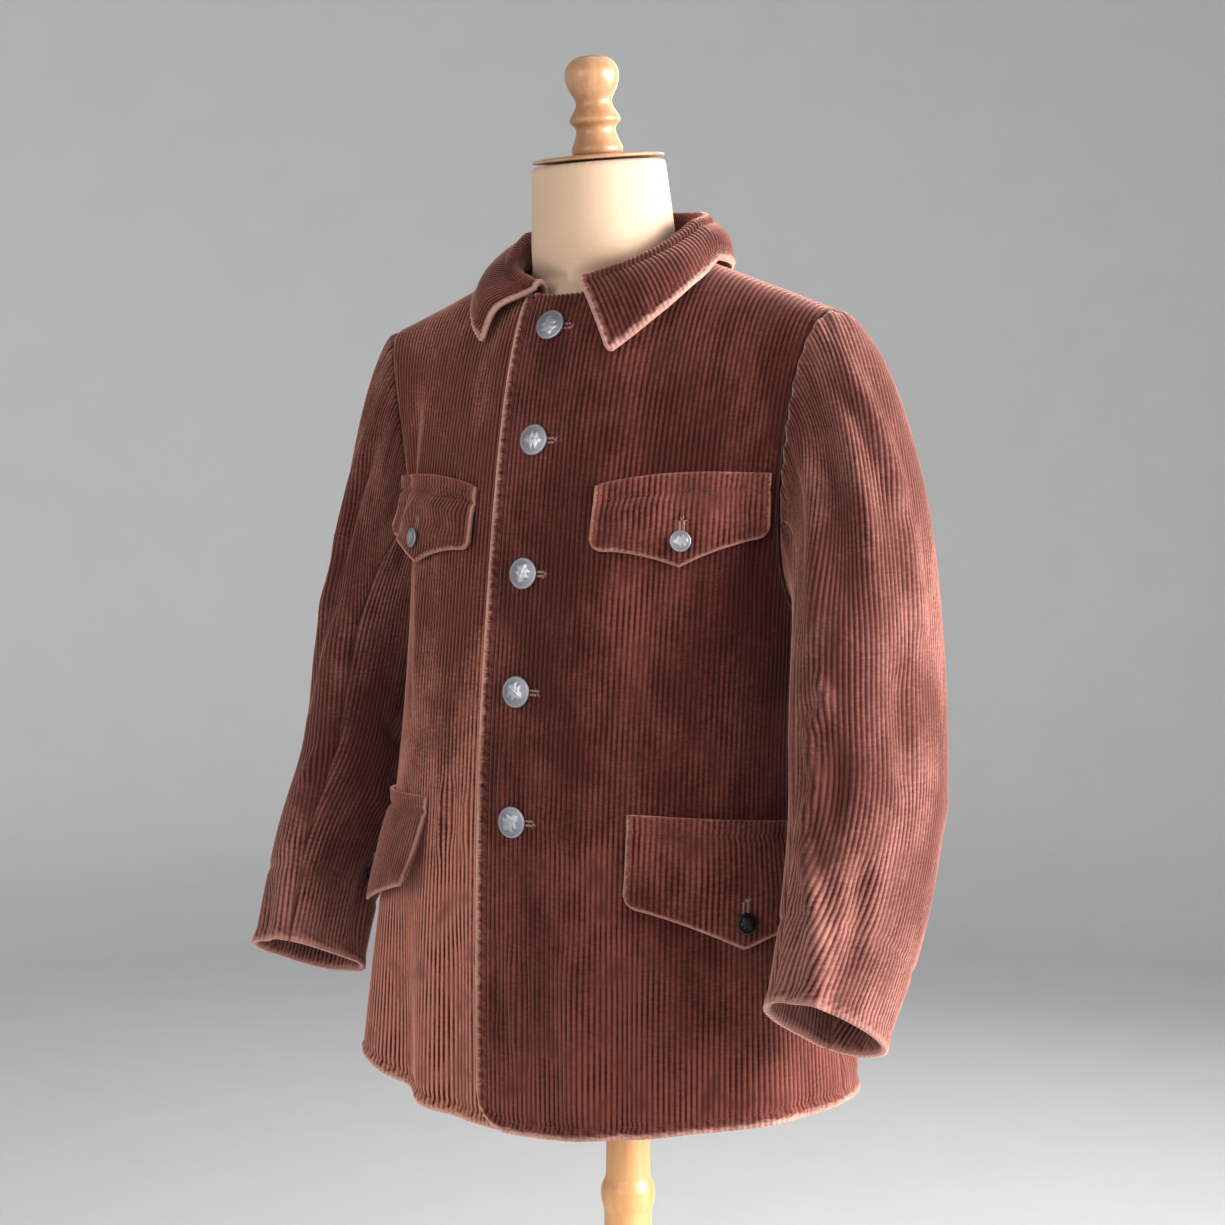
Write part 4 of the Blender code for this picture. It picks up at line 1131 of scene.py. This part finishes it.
FLAPS = (
    Flap("chest_flap_left", CHEST_FLAP, 1, 0.002, 0.001, 0.003, 41.0),
    Flap("chest_flap_right", CHEST_FLAP, -1, 0.002, 0.004, 0.012, 42.0),
    Flap("hip_flap_left", HIP_FLAP, 1, 0.003, 0.002, 0.003, 43.0),
    Flap("hip_flap_right", HIP_FLAP, -1, 0.018, 0.007, 0.004, 44.0),
)


def level_of(z, along):
    """The level of a front whose point at this distance from the centre lies at height z."""
    low = 0.0
    high = 2.0
    for step in range(24):
        middle = (low + high) / 2
        if body_point(along, middle, True).z < z:
            low = middle
        else:
            high = middle
    return (low + high) / 2


def flap_depth(size, share):
    """Depth of a flap below its top edge: rounded corners, then a dip to the middle tip."""
    from_end = min(share, 1.0 - share)
    depth = size.side + (size.tip - size.side) * (2.0 * from_end) ** size.curve
    gap = from_end * size.width
    if gap < FLAP_CORNER:
        depth -= corner_cut(FLAP_CORNER, gap)
    return depth


@lru_cache(None)
def flap_levels(size, share):
    """Levels of a flap's top edge and bottom edge at a share of its width."""
    along = size.start + size.width * share
    top = size.top + size.rise * share
    bowed = top + size.bow * sin(pi * share ** 0.7)
    return level_of(bowed, along), level_of(top - flap_depth(size, share), along)


def flap_skin(flap, share, down, lift=0.0):
    """A place on a flap's outer face: the panel's own point, moved out by what lies between."""
    top, bottom = flap_levels(flap.size, share)
    swing = flap.front_lift + (flap.tip_lift - flap.front_lift) * min(2.0 * share, 1.0)
    if share > 0.5:
        swing = flap.tip_lift + (flap.back_lift - flap.tip_lift) * (2.0 * share - 1.0)
    stitched = FLAP_STITCH_DOWN / flap_depth(flap.size, share)
    below = max(0.0, min(1.0, (down - stitched) / (1.0 - stitched)))
    bulge = sin(pi * below) * smooth(1.35 - share) * smooth(share / 0.2)
    out = FLAP_OFF + FLAP_WALL + 0.0012 * down + swing * down * down + FLAP_BULGE * bulge
    along = flap.size.start + flap.size.width * share
    if flap.size is CHEST_FLAP:
        out += creased(FLAP_CREASES, along, -down * flap_depth(flap.size, share))
    return front_skin(along, top + (bottom - top) * down, flap.side, out + lift)


FLAP_FURROW = 0.0024
FLAP_UNEVEN = 0.0014
FLAP_DYE_AND_SHADE = Dye((0.020, 0.0044, 0.0034, 1), (0.082, 0.0185, 0.0140, 1), (0.240, 0.074, 0.056, 1),
               (0.44, 0.220, 0.172, 1))
FLAP_RIM = 1.9
flap_cloth = corduroy_finish("corduroy_flaps", FLAP_DYE_AND_SHADE, 8.0, 0.12, 0.15)
for flap in FLAPS:
    flap_columns = floor(flap.size.width / COLUMN)

    def lay(s, t):
        down = 1.0 - t
        along = flap.size.start + flap.size.width * s
        depth = flap_depth(flap.size, s)
        rim = FLAP_RIM * min(s * flap.size.width, (1.0 - s) * flap.size.width, depth * t)
        if down * depth < FLAP_STITCH_DOWN:
            rim = min(rim, 0.004 + down * depth)
        return Laid(flap_skin(flap, s, down)[0], along, -down * depth, rim, 1.0)

    def lift(laid):
        return FLAP_UNEVEN * chance(laid.across * 26.0, laid.up * 34.0, flap.seed)

    def relief(laid):
        height = cord_relief(laid, flap.seed, 0.0)
        return height - FLAP_FURROW * fade(abs(laid.up + FLAP_STITCH_DOWN) / 0.0034)

    cloth = cloth_shell(f"jacket_{flap.name}", flap_columns, FLAP_ROWS, lay, lift, relief,
                        flap_cloth, wall=FLAP_WALL, flipped=flap.side < 0)
    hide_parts(flap.name)
    "jacket_front_left" if flap.side > 0 else "jacket_front_right"

# Topstitching: brown cotton thread, run by machine along the front edges, front hems, flaps and collar.
# Each stitch is a short raised bead of thread in the furrow that it pulls into the cloth.
STITCH_PITCH = 0.0034
STITCH_SIZE = Vector((0.00125, 0.00030, 0.00026))
THREAD_COLOUR = (0.120, 0.042, 0.032, 1.0)


def thread_finish(name, colour):
    """Spun cotton: two tones twisted together, dull."""
    made, shader, start = new_finish(name, {"Roughness": 0.8, "Sheen Weight": 0.2})
    place = object_place(start)
    twist = speckle(start, place, (1800.0, 1800.0, 1800.0), 1.0)
    dark = tuple(0.45 * c for c in colour[:3]) + (1.0,)
    twist.clear_of(0.35, 0.65).blend(dark, colour).feed(shader, "Base Color")
    return made


def add_stitch(mesh, point, ahead, facing, size):
    """One bead of thread, long along the seam and half sunk in the cloth."""
    ahead = (ahead - facing * ahead.dot(facing)).normalized()
    axes = Matrix((ahead, facing.cross(ahead), facing)).transposed().to_4x4()
    bead = Matrix.Translation(point) @ axes @ Matrix.Diagonal((*size, 1.0))
    bmesh.ops.create_icosphere(mesh, subdivisions=1, radius=1.0, matrix=bead)


def sew(mesh, places):
    """Stitches from place to place along a seam."""
    for (a, facing), (b, other) in zip(places, places[1:]):
        if (b - a).length > 0.0005:
            add_stitch(mesh, (a + b) / 2, b - a, facing, STITCH_SIZE)


def steps(begin, end, length):
    count = max(2, round(length / STITCH_PITCH))
    return [begin + (end - begin) * k / count for k in range(count + 1)]


THREAD_LIFT = 0.0001
mesh = bmesh.new()
for side in (1, -1):
    edge = STITCH_IN - EDGE_PAST_CENTRE
    low = HEM_CORNER / SKIRT_LENGTH
    sew(mesh, [front_skin(edge, level, side, THREAD_LIFT) for level in steps(1.93, low, 0.62)])
    bend = []
    for turn in steps(0.0, pi / 2, 0.031):
        along = HEM_CORNER - EDGE_PAST_CENTRE - (HEM_CORNER - STITCH_IN) * cos(turn)
        height = HEM_CORNER - (HEM_CORNER - STITCH_IN) * sin(turn)
        bend.append(front_skin(along, height / SKIRT_LENGTH, side, THREAD_LIFT))
    sew(mesh, bend)
    end = edge_along(0.0, True) - 0.002
    hem = STITCH_IN / SKIRT_LENGTH
    begin = HEM_CORNER - EDGE_PAST_CENTRE
    sew(mesh, [front_skin(along, hem, side, THREAD_LIFT) for along in steps(begin, end, 0.27)])
brown_thread = thread_finish("brown_thread", THREAD_COLOUR)
front_thread = piece("front_stitching", mesh, brown_thread)

mesh = bmesh.new()
for flap in FLAPS:
    places = []
    for share in steps(0.015, 0.985, flap.size.width):
        places.append(flap_skin(flap, share, FLAP_STITCH_DOWN / flap_depth(flap.size, share), -0.0013))
    sew(mesh, places)
flap_thread = piece("flap_stitching", mesh, brown_thread)


def collar_seam(distance, from_edge):
    """A place on the fall's outer face, so far in from its edge."""
    share = 1.0 - 0.5 * from_edge / collar_place(distance)[1]
    point = collar_skin(distance, share)
    step = 0.002 if distance < collar_length / 2 else -0.002
    ahead = (collar_skin(distance + step, share) - point) / step
    down = point - collar_skin(distance, share - 0.02)
    facing = down.cross(ahead).normalized()
    return point + facing * (COLLAR_WALL / 2 + THREAD_LIFT), facing


mesh = bmesh.new()
inner = collar_length - COLLAR_STITCH_IN
sew(mesh, [collar_seam(d, COLLAR_STITCH_IN) for d in steps(COLLAR_STITCH_IN, inner, collar_length)])
for distance in (COLLAR_STITCH_IN, inner):
    fall = collar_place(distance)[1]
    sew(mesh, [collar_seam(distance, d) for d in steps(COLLAR_STITCH_IN, 0.85 * fall, fall)])
collar_thread = piece("collar_stitching", mesh, brown_thread)

# Buttonholes: a slit beside each button, worked round with close stitches of pale thread.
# Long use has frayed them, and loose ends stand out of the worn holes.
BUTTON_HEIGHTS = (1.376, 1.286, 1.182, 1.090, 0.989)
HOLE_BEGIN = 0.004
HOLE_END = 0.0165
HOLE_HALF = 0.0016
FRAY_COLOUR = (0.52, 0.30, 0.26, 1.0)
WORKED_SIZE = Vector((0.0013, 0.00042, 0.00036))
WORKED_PITCH = 0.00095
FRAYED_ENDS = 9
FRAYED_THICK = 0.00016
FLAP_HOLE_LENGTH = 0.015
FLAP_BUTTON_UP = 0.020


def work_hole(mesh, spot, begin, end, seed):
    """Stitches square to a slit on both sides, and frayed ends past its worn end."""
    count = round((end - begin) / WORKED_PITCH)
    for k in range(count + 1):
        place = begin + (end - begin) * k / count
        middle, facing = spot(place, 0.0)
        for half in (-HOLE_HALF, HOLE_HALF):
            point, facing = spot(place, half)
            add_stitch(mesh, point, point - middle, facing, WORKED_SIZE)
    for k in range(FRAYED_ENDS):
        turn = chance(seed, k * 3.7, 0.5) * 2.6
        place, facing = spot(end + 0.0006, 0.0)
        ahead = (place - spot(end - 0.002, 0.0)[0]).normalized()
        ahead = Matrix.Rotation(turn, 3, facing) @ ahead + facing * (0.25 + 0.1 * k % 0.3)
        length = 0.0016 + 0.0022 * abs(chance(seed, k * 1.9, 7.5))
        add_stitch(mesh, place + ahead * length, ahead, facing.cross(ahead).normalized(),
                   Vector((length, FRAYED_THICK, FRAYED_THICK)))


mesh = bmesh.new()
for number, z in enumerate(BUTTON_HEIGHTS):
    def spot(place, half):
        return front_skin(place, level_of(z + half, abs(place)), 1, 0.0004)

    work_hole(mesh, spot, HOLE_BEGIN, HOLE_END, 60.0 + number)
for flap in FLAPS:
    depth = flap.size.tip + flap.size.bow
    button_down = depth - FLAP_BUTTON_UP

    def spot(place, half):
        return flap_skin(flap, 0.5 + half / flap.size.width, (button_down - place) / depth, 0.0003)

    work_hole(mesh, spot, 0.002, FLAP_HOLE_LENGTH, 70.0 + flap.seed)
worked = piece("worked_buttonholes", mesh, thread_finish("frayed_thread", FRAY_COLOUR))

# Buttons: cast pewter, domed, with a raised leaf inside a rim, on a shank sewn through the cloth.
# The five on the front are large; the four on the flaps are small, and the lower two are dark.
FRONT_BUTTON_RADIUS = 0.0125
FLAP_BUTTON_RADIUS = 0.0083
BUTTON_OFF = 0.0003
BUTTON_RINGS = 22
BUTTON_SEGMENTS = 64
SHANK_ROWS = ((0.0, 0.0004), (0.28, 0.0004), (0.30, 0.0008), (0.30, 0.0021), (0.36, 0.0024), (0.90, 0.0026),
              (0.97, 0.0029), (1.0, 0.0034), (0.985, 0.0038))
FACE_Z = 0.0040
FACE_DOME = 0.0015
FACE_EDGE_Z = 0.0036
LEAF_RELIEF = 0.042
PEWTER = (0.41, 0.415, 0.460, 1.0)
PEWTER_SHADOW = (0.230, 0.232, 0.262, 1.0)
DARK_PEWTER = (0.075, 0.075, 0.072, 1.0)
DARK_PEWTER_SHADOW = (0.016, 0.016, 0.016, 1.0)


def pewter_finish(name, bright, shadow):
    """Dull cast metal: bright on the raised relief where fingers rub it, with painted shade in the hollows
    of the relief.
    """
    made, shader, start = new_finish(name, {"Metallic": 0.85})
    place = object_place(start)
    grit = speckle(start, place, (1400.0, 1400.0, 1400.0), 3.0)
    stain = speckle(start, place, (320.0, 320.0, 320.0), 2.0)
    raised = mark(start, "raised")
    # Painted shade: the hollows of the relief take the shadow colour, the raised parts the bright one.
    tone = (raised * 0.75 + stain * 0.35).clear_of(0.12, 0.75)
    tone.blend(shadow, bright).feed(shader, "Base Color")
    (0.50 - tone * 0.14 + grit * 0.08).feed(shader, "Roughness")
    rough_skin(start, shader, 0.25, 0.0002, grit)
    return made


def leaf_height(x, y):
    """A lobed leaf on a unit disc, with a rib and veins, inside a raised rim."""
    r = hypot(x, y)
    rim = 0.5 - 0.5 * smooth(abs(r - 0.92) / 0.07)
    reach = (x + 0.68) / 1.36
    if not 0.0 < reach < 1.0:
        return rim
    lobes = 1.0 + 0.28 * cos(7.0 * pi * reach)
    half = 0.52 * sin(pi * reach ** 0.8) * lobes
    blade = fade((abs(y) - half + 0.10) / 0.16)
    vein = fade(abs(sin(3.5 * pi * reach + 4.0 * abs(y))) / 0.35)
    rib = fade(abs(y) / 0.07)
    return max(rim, 0.72 * blade * (1.0 - 0.45 * vein) + 0.3 * rib * blade)


def button(name, node, radius, spot, facing, turn, finish):
    """Spun from the shank out to the rim and over the domed face, then given its relief."""
    rows = [(r * radius, height) for r, height in SHANK_ROWS]
    for k in range(1, BUTTON_RINGS + 1):
        r = 0.97 * (1.0 - k / BUTTON_RINGS)
        rows.append((r * radius, FACE_Z + FACE_DOME * (1.0 - r * r)))
    mesh = spun(rows, BUTTON_SEGMENTS)
    raised = mesh.verts.layers.float.new("raised")
    for v in mesh.verts:
        if v.co.z > FACE_EDGE_Z:
            height = leaf_height(v.co.x / radius, v.co.y / radius)
            v[raised] = height
            v.co.z += LEAF_RELIEF * radius * height
    seat = Matrix.Translation(spot) @ facing.to_track_quat("Z", "Y").to_matrix().to_4x4()
    bmesh.ops.transform(mesh, matrix=seat @ Matrix.Rotation(turn, 4, "Z"), verts=mesh.verts[:])
    made = piece(name, mesh, finish)
    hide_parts(node)


pewter = pewter_finish("cast_pewter", PEWTER, PEWTER_SHADOW)
dark_pewter = pewter_finish("dark_cast_pewter", DARK_PEWTER, DARK_PEWTER_SHADOW)
for number, z in enumerate(BUTTON_HEIGHTS, 1):
    spot, facing = front_skin(0.0, level_of(z, 0.0), 1, BUTTON_OFF)
    button(f"leaf_button_{number}", f"front_button_{number}", FRONT_BUTTON_RADIUS, spot, facing,
           0.5 + 1.3 * number, pewter)
for flap in FLAPS:
    down = 1.0 - FLAP_BUTTON_UP / (flap.size.tip + flap.size.bow)
    spot, facing = flap_skin(flap, 0.5, down, BUTTON_OFF)
    is_chest = flap.size is CHEST_FLAP
    node = flap.name.replace("flap", "button")
    button(f"small_{node}", node, FLAP_BUTTON_RADIUS, spot, facing, flap.seed,
           pewter if is_chest else dark_pewter)

# Studio: a pale round sweep that runs from the floor up into the walls, lit softly.
# Two strong lamps stand on the wearer's left, beside the jacket and a little behind it; the rest are weak.
SWEEP_ROWS = ((0.0, 0.0), (2.0, 0.0), (4.2, 0.0), (4.9, 0.10), (5.3, 0.45), (5.5, 1.1), (5.5, 4.5))
SWEEP_SEGMENTS = 64
SWEEP_COLOUR = (0.62, 0.63, 0.63, 1.0)
SWEEP_SHADE = (0.60, 0.61, 0.61, 1.0)
paper, shader, start = new_finish("pale_paper", {"Roughness": 0.9})
place = object_place(start)
fibre = speckle(start, place, (6.0, 6.0, 6.0), 2.0)
fibre.clear_of(0.2, 0.9).blend(SWEEP_COLOUR, SWEEP_SHADE).feed(shader, "Base Color")
sweep = new_object("studio_sweep", spun(SWEEP_ROWS, SWEEP_SEGMENTS), paper)

Lamp = namedtuple("Lamp", "name place aim size power colour")
LAMPS = (
    Lamp("right", (2.45, -0.15, 1.75), (0.10, -0.05, 1.10), 1.2, 62.0, (1.0, 0.97, 0.95)),
    Lamp("rim", (2.40, 0.90, 1.55), (0.20, -0.05, 1.00), 1.2, 165.0, (1.0, 0.97, 0.95)),
    Lamp("left", (-0.5, -2.9, 1.8), (0.0, -0.05, 1.05), 1.4, 30.0, (1.0, 0.97, 0.92)),
    Lamp("front", (0.9, -2.8, 1.7), (0.0, -0.05, 1.10), 1.6, 13.0, (1.0, 0.98, 0.96)),
    Lamp("top", (0.2, 0.9, 3.2), (0.0, -0.05, 1.20), 1.6, 14.0, (1.0, 0.98, 0.96)),
    Lamp("back", (-0.6, 2.8, 2.2), (0.0, 0.0, 1.10), 1.6, 24.0, (1.0, 0.98, 0.96)),
)
for lamp in LAMPS:
    data = bpy.data.lights.new(lamp.name, "AREA")
    data.size = lamp.size
    data.energy = lamp.power
    data.color = lamp.colour
    light = bpy.data.objects.new(lamp.name, data)
    light.location = lamp.place
    aim = Vector(lamp.aim) - Vector(lamp.place)
    light.rotation_euler = aim.to_track_quat("-Z", "Y").to_euler()
    bpy.context.scene.collection.objects.link(light)

world = bpy.data.worlds.new("pale_room")
world.use_nodes = True
sky = world.node_tree.nodes["Background"]
sky.inputs["Color"].default_value = (0.90, 0.95, 1.0, 1.0)
sky.inputs["Strength"].default_value = 0.30
bpy.context.scene.world = world
bpy.context.scene.view_settings.view_transform = "Standard"

# Camera: a little above chest height, to the wearer's left of the front, close by.
# It looks down slightly, as the photo does.
CAMERA_TURN = radians(32)
CAMERA_PAN = radians(0.4117)
CAMERA_DOWN = radians(2.94)
CAMERA_AWAY = 1.84
CAMERA_HEIGHT = 1.24
lens = bpy.data.cameras.new("camera")
lens.lens = 64.35
lens.sensor_width = 36.0
camera = bpy.data.objects.new("camera", lens)
camera.location = (CAMERA_AWAY * sin(CAMERA_TURN), -CAMERA_AWAY * cos(CAMERA_TURN), CAMERA_HEIGHT)
camera.rotation_euler = (pi / 2 - CAMERA_DOWN, 0.0, CAMERA_TURN + CAMERA_PAN)
bpy.context.scene.collection.objects.link(camera)
bpy.context.scene.camera = camera
